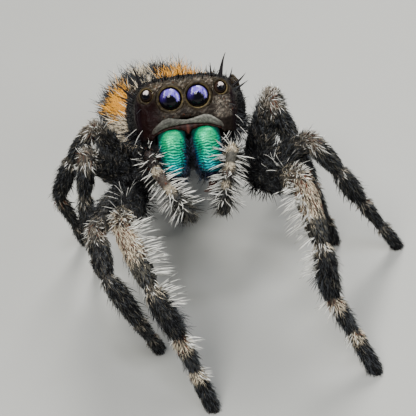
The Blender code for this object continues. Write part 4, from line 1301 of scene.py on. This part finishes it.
class Coat:
    def __init__(self, name):
        self.name = name
        self.points = []
        self.faces = []
        self.colours = []
        self.patches = []
        self.count = 0

    def add(self, points, steps, colours, places):
        hairs, each = points.shape[:2]
        faces = strandFaces(steps)
        start = self.count + np.arange(hairs)[:, None, None] * each
        self.faces.append((faces[None] + start).reshape(-1, 3))
        self.points.append(points.reshape(-1, 3))
        self.colours.append(np.repeat(colours, each, axis=0))
        # Each hair is a small patch at its root's place
        across = np.array([0.5] * each)
        up = np.zeros(each)
        for k in range(steps):
            across[k * 3:k * 3 + 3] = (0.0, 0.5, 1.0)
            up[k * 3:k * 3 + 3] = k / steps
        up[-1] = 1.0
        patch = np.stack((across - 0.5, up - 0.5), axis=1) * hair["patch"]
        self.patches.append((places[:, None, :] + patch[None]).reshape(-1, 2))
        self.count += hairs * each

    def make(self):
        points = np.concatenate(self.points)
        faces = np.concatenate(self.faces)
        points[:, 2] = np.maximum(points[:, 2], hair["lowest"])
        mesh = bpy.data.meshes.new(self.name)
        mesh.vertices.add(len(points))
        mesh.vertices.foreach_set("co", points.astype(np.float32).ravel())
        mesh.loops.add(len(faces) * 3)
        mesh.loops.foreach_set("vertex_index", faces.astype(np.int32).ravel())
        mesh.polygons.add(len(faces))
        mesh.polygons.foreach_set("loop_start", (np.arange(len(faces)) * 3).astype(np.int32))
        mesh.update(calc_edges=True)
        mesh.validate()
        mesh.materials.append(coatMaterial)
        mesh.shade_smooth()
        uv = np.concatenate(self.patches)[faces.ravel()]
        layer = mesh.uv_layers.new(name="OFBake")
        layer.data.foreach_set("uv", uv.astype(np.float32).ravel())
        thing = bpy.data.objects.new(self.name, mesh)
        bpy.context.collection.objects.link(thing)
        paint(thing, np.concatenate(self.colours))
        print(self.name, "has", len(faces), "triangles")
        finished(thing, "fur")


def onUnwrap(shares):
    return hair["margin"] + (1 - 2 * hair["margin"]) * np.clip(shares, 0, 1)


def pickFaces(surface, mask, perArea, rng):
    # Faces drawn by their area, and a spot near the middle of each
    chosen = np.flatnonzero(mask)
    if len(chosen) == 0:
        return chosen, np.zeros((0, 3))
    weight = surface["area"][chosen]
    count = int(weight.sum() * perArea * hair["density"])
    picked = chosen[rng.choice(len(chosen), size=count, p=weight / weight.sum())]
    roots = surface["centre"][picked] + rng.normal(scale=hair["scatter"], size=(count, 3))
    return picked, roots


def withTurn(lies, outs, spread, rng):
    # The lie of each hair, turned a little at random within the surface
    lies = lies - outs * np.sum(lies * outs, axis=1)[:, None]
    lies = unit(lies)
    turn = rng.normal(scale=spread, size=len(lies))[:, None]
    return unit(lies * np.cos(turn) + np.cross(outs, lies) * np.sin(turn))


def toneByShare(weights, palette, rng):
    steps = np.cumsum(weights / weights.sum(axis=1, keepdims=True), axis=1)
    kind = (rng.random(len(weights))[:, None] > steps).sum(axis=1)
    colours = palette[np.minimum(kind, len(palette) - 1)]
    return colours * rng.normal(1.0, hair["jitter"], size=len(weights)).clip(0.5, 1.5)[:, None]


# Passes on a limb: kind, from, to, middle angle, half spread, hairs to a square mm, length, width,
# rise, colour, steps. Angles run from the outer side, with the leg's inner side at 90.
frontCoat = (
    ("coxa", 0.0, 1.0, 0, 180, 60, 0.22, 0.045, 0.25, "marks", 2),
    ("femur", 0.0, 0.80, 0, 180, 260, 0.40, 0.026, 0.22, "marks", 2),
    ("femur", 0.1, 0.85, 0, 70, 30, 0.62, 0.026, 0.50, "black", 3),
    ("femur", 0.0, 0.40, 0, 180, 70, 0.60, 0.032, 0.80, "black", 3),
    ("femur", 0.45, 0.82, 0, 45, 15, 0.85, 0.028, 0.84, "grey", 3),
    ("femur", 0.45, 0.82, 0, 45, 10, 0.80, 0.030, 0.84, "white", 3),
    ("femur", 0.80, 1.0, 0, 110, 240, 0.34, 0.036, 0.50, "marks", 3),
    ("femur", 0.86, 1.0, 30, 80, 90, 0.36, 0.050, 0.66, "white", 4),
    ("patella", 0.0, 1.0, 0, 180, 560, 0.24, 0.034, 0.14, "marks", 2),
    ("patella", 0.02, 0.5, 10, 75, 110, 0.26, 0.042, 0.30, "marks", 3),
    ("patella", 0.90, 1.0, 0, 150, 30, 0.34, 0.036, 0.6, "white", 3),
    ("patella", 0.03, 0.90, 88, 22, 120, 0.80, 0.060, 0.92, "white", 4),
    ("patella", 0.05, 0.60, 56, 20, 80, 0.46, 0.048, 0.66, "white", 3),
    ("patella", 0.30, 1.0, -80, 45, 40, 0.42, 0.024, 0.45, "black", 3),
    ("tibia", 0.0, 1.0, 0, 180, 420, 0.36, 0.026, 0.22, "marks", 2),
    ("tibia", 0.0, 0.10, 0, 110, 50, 0.26, 0.040, 0.5, "white", 3),
    ("tibia", 0.0, 0.48, 88, 24, 120, 0.74, 0.058, 0.88, "white", 4),
    ("tibia", 0.5, 0.92, 90, 34, 110, 0.54, 0.028, 0.6, "grey", 3),
    ("tibia", 0.2, 1.0, -40, 110, 70, 0.44, 0.026, 0.50, "black", 3),
    ("metatarsus", 0.0, 0.30, 0, 180, 300, 0.26, 0.036, 0.46, "marks", 3),
    ("metatarsus", 0.02, 0.34, 80, 40, 120, 0.56, 0.056, 0.82, "white", 4),
    ("metatarsus", 0.04, 0.28, -85, 40, 36, 0.30, 0.036, 0.66, "white", 3),
    ("metatarsus", 0.28, 1.0, 0, 180, 400, 0.32, 0.025, 0.24, "marks", 2),
    ("metatarsus", 0.40, 1.0, 0, 180, 90, 0.40, 0.025, 0.5, "grey", 3),
    ("tarsus", 0.0, 0.20, 0, 180, 360, 0.22, 0.036, 0.50, "marks", 3),
    ("tarsus", 0.0, 0.22, 78, 50, 120, 0.38, 0.050, 0.74, "white", 3),
    ("tarsus", 0.18, 1.0, 0, 180, 480, 0.28, 0.025, 0.26, "marks", 2),
    ("tarsus", 0.35, 1.0, 90, 60, 120, 0.34, 0.024, 0.5, "grey", 3),
    ("tarsus", 0.78, 1.0, 180, 100, 320, 0.20, 0.026, 0.45, "black", 2),
)
rearCoat = (
    ("coxa", 0.0, 1.0, 0, 180, 60, 0.22, 0.040, 0.25, "marks", 2),
    ("femur", 0.0, 1.0, 0, 180, 230, 0.38, 0.030, 0.24, "marks", 2),
    ("femur", 0.4, 0.96, 0, 80, 40, 0.54, 0.026, 0.48, "grey", 3),
    ("femur", 0.90, 1.0, 0, 110, 60, 0.34, 0.040, 0.62, "white", 3),
    ("patella", 0.0, 1.0, 0, 180, 360, 0.30, 0.032, 0.24, "marks", 2),
    ("patella", 0.0, 0.30, 0, 100, 40, 0.34, 0.040, 0.52, "white", 3),
    ("tibia", 0.0, 1.0, 0, 180, 330, 0.34, 0.027, 0.26, "marks", 2),
    ("tibia", 0.0, 0.16, 0, 120, 30, 0.30, 0.036, 0.5, "white", 3),
    ("tibia", 0.2, 1.0, 0, 180, 30, 0.46, 0.022, 0.5, "black", 3),
    ("metatarsus", 0.0, 0.24, 0, 180, 240, 0.28, 0.034, 0.5, "marks", 3),
    ("metatarsus", 0.2, 1.0, 0, 180, 330, 0.30, 0.025, 0.26, "marks", 2),
    ("tarsus", 0.0, 0.22, 0, 180, 260, 0.24, 0.034, 0.5, "marks", 3),
    ("tarsus", 0.2, 1.0, 0, 180, 380, 0.26, 0.025, 0.3, "marks", 2),
    ("tarsus", 0.76, 1.0, 180, 100, 300, 0.20, 0.028, 0.45, "black", 2),
)
palpRoot = (
    ("femur", 0.0, 1.0, 0, 180, 200, 0.26, 0.032, 0.40, "marks", 3),
    ("femur", 0.35, 1.0, 0, 150, 30, 0.50, 0.050, 0.80, "white", 4),
    ("femur", 0.10, 1.0, 0, 180, 150, 0.50, 0.030, 0.72, "black", 3),
)
palpTip = (
    ("tarsus", 0.0, 0.10, 0, 180, 300, 0.14, 0.044, 0.35, "cream", 2),
    ("tarsus", 0.1, 1.0, 0, 180, 220, 0.16, 0.024, 0.20, "marks", 2),
    ("tarsus", 0.0, 0.60, 0, 180, 74, 0.66, 0.048, 0.80, "white", 5),
    ("tarsus", 0.0, 0.80, 0, 180, 110, 0.54, 0.028, 0.74, "black", 3),
    ("tarsus", 0.30, 0.88, 0, 180, 60, 0.38, 0.032, 0.60, "olive", 3),
)
# The same without the kind, for a palp's patella or tibia: bare in front, hairy all round, or dusky
palpBare = (
    (0.0, 0.12, 0, 180, 480, 0.15, 0.046, 0.30, "cream", 2),
    (0.88, 1.0, 0, 180, 480, 0.15, 0.046, 0.30, "cream", 2),
    (0.1, 0.9, 0, 180, 300, 0.12, 0.026, 0.12, "marks", 2),
    (0.0, 1.0, 98, 46, 78, 0.68, 0.050, 0.92, "white", 5),
    (0.0, 1.0, -98, 46, 78, 0.68, 0.050, 0.92, "white", 5),
    (0.0, 1.0, 180, 95, 90, 0.54, 0.030, 0.84, "black", 3),
)
palpHairy = (
    (0.0, 1.0, 0, 180, 240, 0.16, 0.028, 0.25, "marks", 2),
    (0.0, 0.16, 0, 180, 340, 0.15, 0.044, 0.35, "cream", 2),
    (0.0, 1.0, 0, 180, 78, 0.66, 0.048, 0.88, "white", 5),
    (0.0, 1.0, 0, 180, 110, 0.54, 0.030, 0.80, "black", 3),
)
palpDusky = (
    (0.0, 1.0, 0, 180, 240, 0.18, 0.030, 0.25, "marks", 2),
    (0.88, 1.0, 0, 180, 480, 0.15, 0.046, 0.30, "cream", 2),
    (0.1, 1.0, 0, 180, 34, 0.46, 0.044, 0.84, "white", 5),
    (0.0, 1.0, 0, 180, 90, 0.42, 0.030, 0.78, "black", 3),
)


def onPart(kind, rows):
    return tuple((kind, *row) for row in rows)


palpCoats = {
    "left": palpRoot + onPart("patella", palpBare) + onPart("tibia", palpHairy) + palpTip,
    "right": palpRoot + onPart("patella", palpDusky) + onPart("tibia", palpBare) + palpTip,
}


def growLimb(limb, sign, passes, seed):
    coat = Coat("coat_" + limb)
    rng = np.random.default_rng(seed + (sign > 0))
    mine = [k for k, part in enumerate(segments) if part["limb"] == limb]
    lengths = {segments[k]["kind"]: segments[k]["length"] for k in mine}
    total = sum(lengths.values())
    for kind, start, end, middle, spread, perArea, length, width, rise, tone, steps in passes:
        k = next(k for k in mine if segments[k]["kind"] == kind)
        part = segments[k]
        away = np.abs((-sign * limbAngle - middle + 180) % 360 - 180)
        mask = (limbIndex == k) & (skinFaces["zone"] == 0) & (limbShare >= start) & (limbShare <= end)
        mask &= away <= spread
        picked, roots = pickFaces(skinFaces, mask, perArea, rng)
        if len(picked) == 0:
            continue
        outs = skinFaces["normal"][picked]
        lies = withTurn(np.tile(part["along"], (len(picked), 1)), outs, 0.28, rng)
        long = length * rng.uniform(0.72, 1.15, len(picked))
        thick = width * rng.uniform(0.75, 1.15, len(picked))
        lift = np.clip(rise + rng.normal(scale=0.07, size=len(picked)), 0.08, 0.97)
        # The finest-stepped hairs are the wavy ones of the palps
        curl = rng.normal(scale=0.22 if steps < 5 else 0.38, size=len(picked))
        shares = limbShare[picked]
        if tone == "marks":
            colours = toneByShare(markWeights(part["marks"], shares), limbTones(limb), rng)
        else:
            bright = rng.uniform(0.55, 1.08, len(picked))[:, None]
            colours = np.array(tones[tone])[None] * bright
        before = sum(lengths[segments[j]["kind"]] for j in mine if j < k)
        u = onUnwrap((before + shares * part["length"]) / total)
        v = onUnwrap((limbAngle[picked] + 180) / 360)
        points = strands(roots, outs, lies, long, thick, lift, curl, steps)
        coat.add(points, steps, colours, np.stack((u, v), axis=1))
    coat.make()


for number in legSizes:
    for side, sign in sides.items():
        growLimb("leg{}_{}".format(number, side), sign, frontCoat if number == 1 else rearCoat,
                 seeds["leg"] + number * 2)
for side, sign in sides.items():
    growLimb("palp_" + side, sign, palpCoats[side], seeds["palp"])


# Hairs to a square mm, length, width, rise, steps, and lowest height as a share of the half depth
abdomenCoat = (
    (100, 0.52, 0.040, 0.24, 3, -2.0),
    (60, 0.74, 0.034, 0.40, 4, -0.1),
    (16, 0.95, 0.026, 0.56, 4, 0.0),
)


def growAbdomen():
    rng = np.random.default_rng(seeds["abdomen"])
    coat = Coat("coat_abdomen")
    place = toAbdomen(skinFaces["centre"]) / abdomenHalf
    tail = np.array((0.0, 1.0, 0.0)) @ abdomenAxes.T
    for perArea, length, width, rise, steps, low in abdomenCoat:
        mask = (skinFaces["zone"] == 1) & (place[:, 2] > low) & (place[:, 1] < 0.97)
        picked, roots = pickFaces(skinFaces, mask, perArea, rng)
        outs = skinFaces["normal"][picked]
        lies = withTurn(np.tile(tail, (len(picked), 1)), outs, 0.3, rng)
        colours = toneByShare(abdomenShares(skinFaces["centre"][picked]), abdomenTones, rng)
        spot = place[picked]
        u = onUnwrap((np.degrees(np.arctan2(spot[:, 0], spot[:, 2])) + 180) / 360)
        v = onUnwrap((spot[:, 1] + 1) / 2)
        points = strands(roots, outs, lies, length * rng.uniform(0.7, 1.2, len(picked)),
                         width * rng.uniform(0.8, 1.2, len(picked)),
                         np.clip(rise + rng.normal(scale=0.08, size=len(picked)), 0.08, 0.95),
                         rng.normal(scale=0.25, size=len(picked)), steps)
        coat.add(points, steps, colours, np.stack((u, v), axis=1))
    coat.make()


growAbdomen()


def growHead():
    # Short flat hair over the shell, denser behind the eyes, and scales round the eyes
    rng = np.random.default_rng(seeds["head"])
    coat = Coat("coat_head")
    centre = headFaces["centre"]
    x, y, z = centre.T
    clear = np.ones(len(x), bool)
    for name, side, radius, width, (spot, right, up, out) in everyEye():
        offset = centre - spot
        ahead = offset @ out
        aside = np.linalg.norm(offset - np.outer(ahead, out), axis=1)
        clear &= (aside > radius + eyeGap + 0.03) | (ahead < -radius * 2)
    upper = (z > 0.1) & clear
    front = y < -2.45
    # Mask, hairs to a square mm, length, width, rise, steps, colours
    passes = (
        (upper & (y > -1.9), 140, 0.22, 0.028, 0.08, 2, ("black",)),
        (clear & (np.abs(x) > 1.4) & (y > -2.3) & (y < 0) & (z < 0.6), 90, 0.54, 0.032, 0.74, 3,
         ("black", "black", "grey")),
        (upper & (y > -1.6) & (z > 1.0), 12, 0.36, 0.022, 0.42, 3, ("black", "black", "grey")),
        (upper & (y > -1.6) & (np.abs(x) > 1.6) & (z < 1.4), 60, 0.28, 0.024, 0.24, 3,
         ("grey", "black", "black")),
        (clear & (y < -2.2) & (z > 1.72) & (z < 2.2), 170, 0.10, 0.030, 0.20, 2,
         ("olive", "rust", "black", "olive", "grey", "black", "sand")),
        (clear & front & (z > 0.85) & (z <= 1.75) & (x > -1.0), 90, 0.09, 0.024, 0.16, 2,
         ("olive", "black", "rust", "black")),
        (clear & front & (z > 0.8) & (z < 1.6) & (x > 1.0) & (x < 1.6), 170, 0.11, 0.028, 0.20, 2,
         ("sand", "olive", "grey", "olive", "black")),
        (clear & (z > 2.12) & (y < -2.0), 18, 0.52, 0.042, 0.92, 3, ("black",)),
        (clear & (z > 2.12) & (y < -2.0), 40, 0.24, 0.022, 0.85, 2, ("black",)),
        (clear & (np.abs(x) > 1.5) & (y < -1.7) & (z > 0.3), 12, 0.42, 0.024, 0.66, 3,
         ("black", "black", "grey")),
        (clear & (np.abs(x) > 1.45) & (y < -1.9) & (z < 0.75) & (z > 0.1), 6, 0.78, 0.034, 0.55, 5,
         ("white",)),
    )
    low = (y < -1.8) & (z < 1.0)
    for mask, perArea, length, width, rise, steps, names in passes:
        picked, roots = pickFaces(headFaces, mask, perArea, rng)
        if len(picked) == 0:
            continue
        outs = headFaces["normal"][picked]
        back = np.tile(np.array((0.0, 1.0, 0.15)), (len(picked), 1))
        down = np.tile(np.array((0.0, 0.1, -1.0)), (len(picked), 1))
        lies = np.where((((y < -2.4) & (z < 1.9)) | low)[picked][:, None], down, back)
        lies = withTurn(lies, outs, 0.35, rng)
        palette = np.array([tones[n] for n in names])
        colours = palette[rng.integers(0, len(names), len(picked))]
        colours = colours * rng.uniform(0.6, 1.1, len(picked))[:, None]
        u = onUnwrap((y[picked] - stance["faceY"] + 0.1) / (head["length"] + 0.2))
        v = onUnwrap((np.degrees(np.arctan2(x[picked], z[picked] - 1.0)) + 180) / 360)
        points = strands(roots, outs, lies, length * rng.uniform(0.7, 1.2, len(picked)),
                         width * rng.uniform(0.8, 1.2, len(picked)),
                         np.clip(rise + rng.normal(scale=0.08, size=len(picked)), 0.08, 0.97),
                         rng.normal(scale=0.25, size=len(picked)), steps)
        shape = points.shape
        points = fromBody(points.reshape(-1, 3)).reshape(shape)
        coat.add(points, steps, colours, np.stack((u, v), axis=1))
    coat.make()


growHead()


def growJawHair():
    # Fine slate and black hair that fills the gap between the jaws
    rng = np.random.default_rng(seeds["jaws"])
    coat = Coat("coat_jaws")
    count = int(260 * hair["density"])
    for sign in sides.values():
        top = mirrored(jaw["top"], sign)
        tip = mirrored(jaw["tip"], sign)
        share = rng.uniform(0.04, 0.9, count)
        turn = rng.uniform(math.radians(-25), math.radians(62), count)
        wide = np.interp(share, jawRadii[:, 0], jawRadii[:, 1])
        deep = np.interp(share, jawRadii[:, 0], jawRadii[:, 2])
        outs = np.stack((-sign * np.cos(turn), -np.sin(turn), np.zeros(count)), axis=1)
        roots = top + (tip - top) * share[:, None] + outs * np.stack((wide, deep, deep), axis=1) * 0.97
        lies = withTurn(np.tile(unit(tip - top), (count, 1)), outs, 0.3, rng)
        tone = np.where(rng.random(count)[:, None] < 0.45, np.array(tones["slate"]), np.array(tones["black"]))
        points = strands(fromBody(roots), outs @ bodyAxes.T, lies @ bodyAxes.T,
                         rng.uniform(0.22, 0.42, count), rng.uniform(0.018, 0.028, count),
                         rng.uniform(0.25, 0.6, count), rng.normal(scale=0.3, size=count), 3)
        u = 0.5 - sign * (0.05 + 0.4 * (np.degrees(turn) + 25) / 87)
        colours = tone * rng.uniform(0.6, 1.3, count)[:, None]
        coat.add(points, 3, colours, np.stack((u, onUnwrap(share)), axis=1))
    coat.make()


growJawHair()


# Bristles, spines and claws, set on points by Geometry Nodes

def makeSpikeTree():
    tree = bpy.data.node_groups.new("spikes", "GeometryNodeTree")
    face = tree.interface
    face.new_socket(name="Geometry", in_out="INPUT", socket_type="NodeSocketGeometry")
    for name, kind, value in (("Thickness", "NodeSocketFloat", 0.03), ("Bend", "NodeSocketFloat", 0.3),
                              ("Sides", "NodeSocketInt", 7), ("Steps", "NodeSocketInt", 7)):
        face.new_socket(name=name, in_out="INPUT", socket_type=kind).default_value = value
    face.new_socket(name="Finish", in_out="INPUT", socket_type="NodeSocketMaterial")
    face.new_socket(name="Geometry", in_out="OUTPUT", socket_type="NodeSocketGeometry")
    new = tree.nodes.new
    link = tree.links.new
    given = new("NodeGroupInput")
    out = new("NodeGroupOutput")
    line = new("GeometryNodeCurveQuadraticBezier")
    line.inputs["Start"].default_value = (0, 0, 0)
    line.inputs["Middle"].default_value = (0, 0, 0.6)
    end = new("ShaderNodeCombineXYZ")
    end.inputs["Z"].default_value = 0.95
    link(given.outputs["Bend"], end.inputs["X"])
    link(end.outputs[0], line.inputs["End"])
    link(given.outputs["Steps"], line.inputs["Resolution"])
    along = new("GeometryNodeSplineParameter")
    taper = new("ShaderNodeMapRange")
    taper.inputs["To Min"].default_value = 1.0
    taper.inputs["To Max"].default_value = 0.08
    link(along.outputs["Factor"], taper.inputs["Value"])
    thick = new("ShaderNodeMath")
    thick.operation = "MULTIPLY"
    link(taper.outputs[0], thick.inputs[0])
    link(given.outputs["Thickness"], thick.inputs[1])
    radius = new("GeometryNodeSetCurveRadius")
    link(line.outputs[0], radius.inputs["Curve"])
    link(thick.outputs[0], radius.inputs["Radius"])
    ring = new("GeometryNodeCurvePrimitiveCircle")
    ring.inputs["Radius"].default_value = 1.0
    link(given.outputs["Sides"], ring.inputs["Resolution"])
    solid = new("GeometryNodeCurveToMesh")
    solid.inputs["Fill Caps"].default_value = True
    link(radius.outputs[0], solid.inputs["Curve"])
    link(ring.outputs["Curve"], solid.inputs["Profile Curve"])
    if "Scale" in solid.inputs:
        link(thick.outputs[0], solid.inputs["Scale"])
    named = {}
    for name, kind in (("aim", "FLOAT_VECTOR"), ("droop", "FLOAT_VECTOR"), ("size", "FLOAT")):
        node = new("GeometryNodeInputNamedAttribute")
        node.data_type = kind
        node.inputs["Name"].default_value = name
        named[name] = node.outputs["Attribute"]
    upright = new("FunctionNodeAlignRotationToVector")
    upright.axis = "Z"
    link(named["aim"], upright.inputs["Vector"])
    turned = new("FunctionNodeAlignRotationToVector")
    turned.axis = "X"
    turned.pivot_axis = "Z"
    link(upright.outputs[0], turned.inputs["Rotation"])
    link(named["droop"], turned.inputs["Vector"])
    scatter = new("GeometryNodeInstanceOnPoints")
    link(given.outputs["Geometry"], scatter.inputs["Points"])
    link(solid.outputs[0], scatter.inputs["Instance"])
    link(turned.outputs[0], scatter.inputs["Rotation"])
    link(named["size"], scatter.inputs["Scale"])
    real = new("GeometryNodeRealizeInstances")
    link(scatter.outputs[0], real.inputs[0])
    smooth = new("GeometryNodeSetShadeSmooth")
    link(real.outputs[0], smooth.inputs["Geometry"])
    finish = new("GeometryNodeSetMaterial")
    link(smooth.outputs[0], finish.inputs["Geometry"])
    link(given.outputs["Finish"], finish.inputs["Material"])
    link(finish.outputs[0], out.inputs[0])
    return tree


spikeTree = makeSpikeTree()


spikes = {
    "sides": 7,
    "steps": 8,
    "lowest": 0.003,
    # Thickness and bend as shares of the length
    "headBristles": (0.095, 0.12),
    "legSpines": (0.045, 0.22),
    "claws": (0.14, 0.45),
}


def growSpikes(name, rows, material, slotName):
    # rows: root, aim, direction of the bend, length, all in floor axes
    thickness, bend = spikes[name]
    thing = newObject(name, [row[0] for row in rows], [], None, smooth=False)
    for attribute, column in (("aim", 1), ("droop", 2)):
        layer = thing.data.attributes.new(attribute, "FLOAT_VECTOR", "POINT")
        values = np.array([unit(row[column]) for row in rows], np.float32)
        layer.data.foreach_set("vector", values.ravel())
    layer = thing.data.attributes.new("size", "FLOAT", "POINT")
    layer.data.foreach_set("value", np.array([row[3] for row in rows], np.float32))
    nodes = thing.modifiers.new("spikes", "NODES")
    nodes.node_group = spikeTree
    sockets = {s.name: s.identifier for s in spikeTree.interface.items_tree if s.in_out == "INPUT"}
    for socket, value in (("Thickness", thickness), ("Bend", bend), ("Sides", spikes["sides"]),
                          ("Steps", spikes["steps"]), ("Finish", material)):
        nodes[sockets[socket]] = value
    applied(thing)
    keepAbove(thing, spikes["lowest"])
    print(name, "has", len(thing.data.polygons), "faces")
    finished(thing, slotName)


# Long bristles of the head: root, aim and bend in body axes, then length
headBristles = (
    ((-1.50, -2.30, 2.10), (-0.16, -0.1, 1.0), (-1, 0, 0), 0.86),
    ((-1.78, -2.15, 1.72), (-0.95, -0.2, 0.85), (0, 0, 1), 0.78),
    ((-1.86, -2.05, 1.45), (-0.90, -0.2, 0.50), (0, 0, 1), 0.50),
    ((1.38, -2.25, 2.12), (0.20, -0.1, 1.0), (1, 0, 0), 0.92),
    ((1.66, -2.20, 1.96), (0.50, -0.1, 0.9), (0, 0, 1), 0.50),
    ((1.80, -2.10, 1.74), (0.95, -0.2, 0.60), (0, 0, 1), 0.68),
    ((1.05, -2.30, 2.20), (0.05, 0.2, 1.0), (0, 1, 0), 0.52),
    ((-0.95, -2.30, 2.18), (-0.1, 0.2, 1.0), (0, 1, 0), 0.42),
    ((-1.90, -1.30, 1.60), (-1.0, 0.1, 0.55), (0, 1, 0), 0.60),
    ((1.90, -1.30, 1.60), (1.0, 0.1, 0.55), (0, 1, 0), 0.60),
)


def makeBristles():
    rows = [(fromBody(root), bodyAxes @ np.array(aim), bodyAxes @ np.array(droop), length)
            for root, aim, droop, length in headBristles]
    growSpikes("headBristles", rows, bristleMaterial, "shell")
    rng = np.random.default_rng(seeds["spines"])
    spines = []
    for part in segments:
        if not part["limb"].startswith("leg") or part["kind"] not in ("femur", "tibia", "metatarsus"):
            continue
        # Paired spines on the under side, and a few on the upper side of the femur
        angles = (150, 210) if part["kind"] != "femur" else (-25, 25)
        for share in ((0.35, 0.65, 0.92) if part["kind"] != "femur" else (0.45, 0.7)):
            factor = girthAt(part, share)
            for angle in angles:
                turn = math.radians(angle + rng.uniform(-8, 8))
                out = unit(part["deep"] * math.cos(turn) + part["wide"] * math.sin(turn))
                root = part["start"] + part["along"] * part["length"] * share
                root = root + (part["deep"] * part["radii"][0] * math.cos(turn)
                               + part["wide"] * part["radii"][1] * math.sin(turn)) * factor * 0.9
                aim = out * 0.75 + part["along"] * 0.7
                spines.append((root, aim, part["along"], rng.uniform(0.45, 0.62)))
    growSpikes("legSpines", spines, bristleMaterial, "leg")
    claws = []
    for part in segments:
        if part["limb"].startswith("leg") and part["kind"] == "tarsus":
            tip = part["start"] + part["along"] * part["length"] * 0.93
            for sign in (-1, 1):
                root = tip + part["wide"] * 0.07 * sign
                root[2] = max(root[2], 0.08)
                flat = unit(part["deep"] * np.array((1, 1, 0.0)) + part["along"] * np.array((1, 1, 0)) * 0.4)
                claws.append((root, flat + part["wide"] * 0.35 * sign, np.array((0, 0, -1.0)), 0.26))
    growSpikes("claws", claws, fangMaterial, "leg")


makeBristles()


# Floor, lights and camera

studio = {
    "cameraElevation": 38.0,
    "cameraRoll": 12.0,
    "distance": 60.0,       # from the main eyes
    "focalPixels": 1692.0,  # for a frame of 416 pixels
    "eyePixel": (184.0, 97.0),
    "framePixels": 416.0,
    "floorColour": (0.345, 0.35, 0.33),
    "skyColour": (0.80, 0.82, 0.84),
    "skyStrength": 0.14,
    "floorReach": 900.0,
}


def makeCamera():
    elevation = math.radians(studio["cameraElevation"])
    roll = math.radians(studio["cameraRoll"])
    back = np.array((0, -math.cos(elevation), math.sin(elevation)))
    level = np.array((1.0, 0, 0))
    lift = np.array((0, math.sin(elevation), math.cos(elevation)))
    right = math.cos(roll) * level - math.sin(roll) * lift
    up = math.sin(roll) * level + math.cos(roll) * lift
    half = studio["framePixels"] / 2
    x = (studio["eyePixel"][0] - half) / studio["focalPixels"]
    y = (half - studio["eyePixel"][1]) / studio["focalPixels"]
    place = eyeSpot - studio["distance"] * (-back + x * right + y * up)
    lens = bpy.data.cameras.new("camera")
    lens.sensor_width = 36.0
    lens.lens = lens.sensor_width * studio["focalPixels"] / studio["framePixels"]
    lens.clip_start = 0.002
    lens.clip_end = 5.0
    camera = bpy.data.objects.new("camera", lens)
    turn = Matrix([[right[i], up[i], back[i]] for i in range(3)]).to_4x4()
    camera.matrix_world = Matrix.Translation(Vector(place * mm)) @ turn
    bpy.context.collection.objects.link(camera)
    bpy.context.scene.camera = camera


# Name, place and aim in mm, size in mm, power in watts, colour
lamps = (
    ("keyLamp", (-30, -60, 120), (0, -3, 5), 60, 0.24, (1.0, 0.98, 0.95)),
    ("fillLamp", (90, -50, 60), (0, -2, 4), 80, 0.06, (0.90, 0.95, 1.0)),
    ("backLamp", (30, 90, 100), (0, 2, 5), 60, 0.22, (1.0, 0.98, 0.94)),
    ("eyeLamp", (8, -40, 130), (0, -4, 8), 26, 0.06, (0.92, 0.92, 1.0)),
)


def makeStudio():
    reach = studio["floorReach"]
    corners = [(x * reach, y * reach, -0.01) for x, y in ((-1, -1), (1, -1), (1, 1), (-1, 1))]
    finish = makeMaterial("paleFloor", 0.6, grain=6.0, uneven=0.06, colour=studio["floorColour"])
    floor = newObject("floor", corners, [(0, 1, 2, 3)], finish, smooth=False)
    toMetres(floor)
    for name, place, aim, size, power, colour in lamps:
        light = bpy.data.lights.new(name, "AREA")
        light.shape = "DISK"
        light.size = size * mm
        light.energy = power
        light.color = colour
        lamp = bpy.data.objects.new(name, light)
        turn = (Vector(aim) - Vector(place)).to_track_quat("-Z", "Y").to_matrix().to_4x4()
        lamp.matrix_world = Matrix.Translation(Vector(place) * mm) @ turn
        bpy.context.collection.objects.link(lamp)
    world = bpy.data.worlds.new("studio")
    world.use_nodes = True
    sky = world.node_tree.nodes["Background"]
    sky.inputs["Color"].default_value = (*studio["skyColour"], 1)
    sky.inputs["Strength"].default_value = studio["skyStrength"]
    bpy.context.scene.world = world


makeCamera()
makeStudio()
print("studio is set")
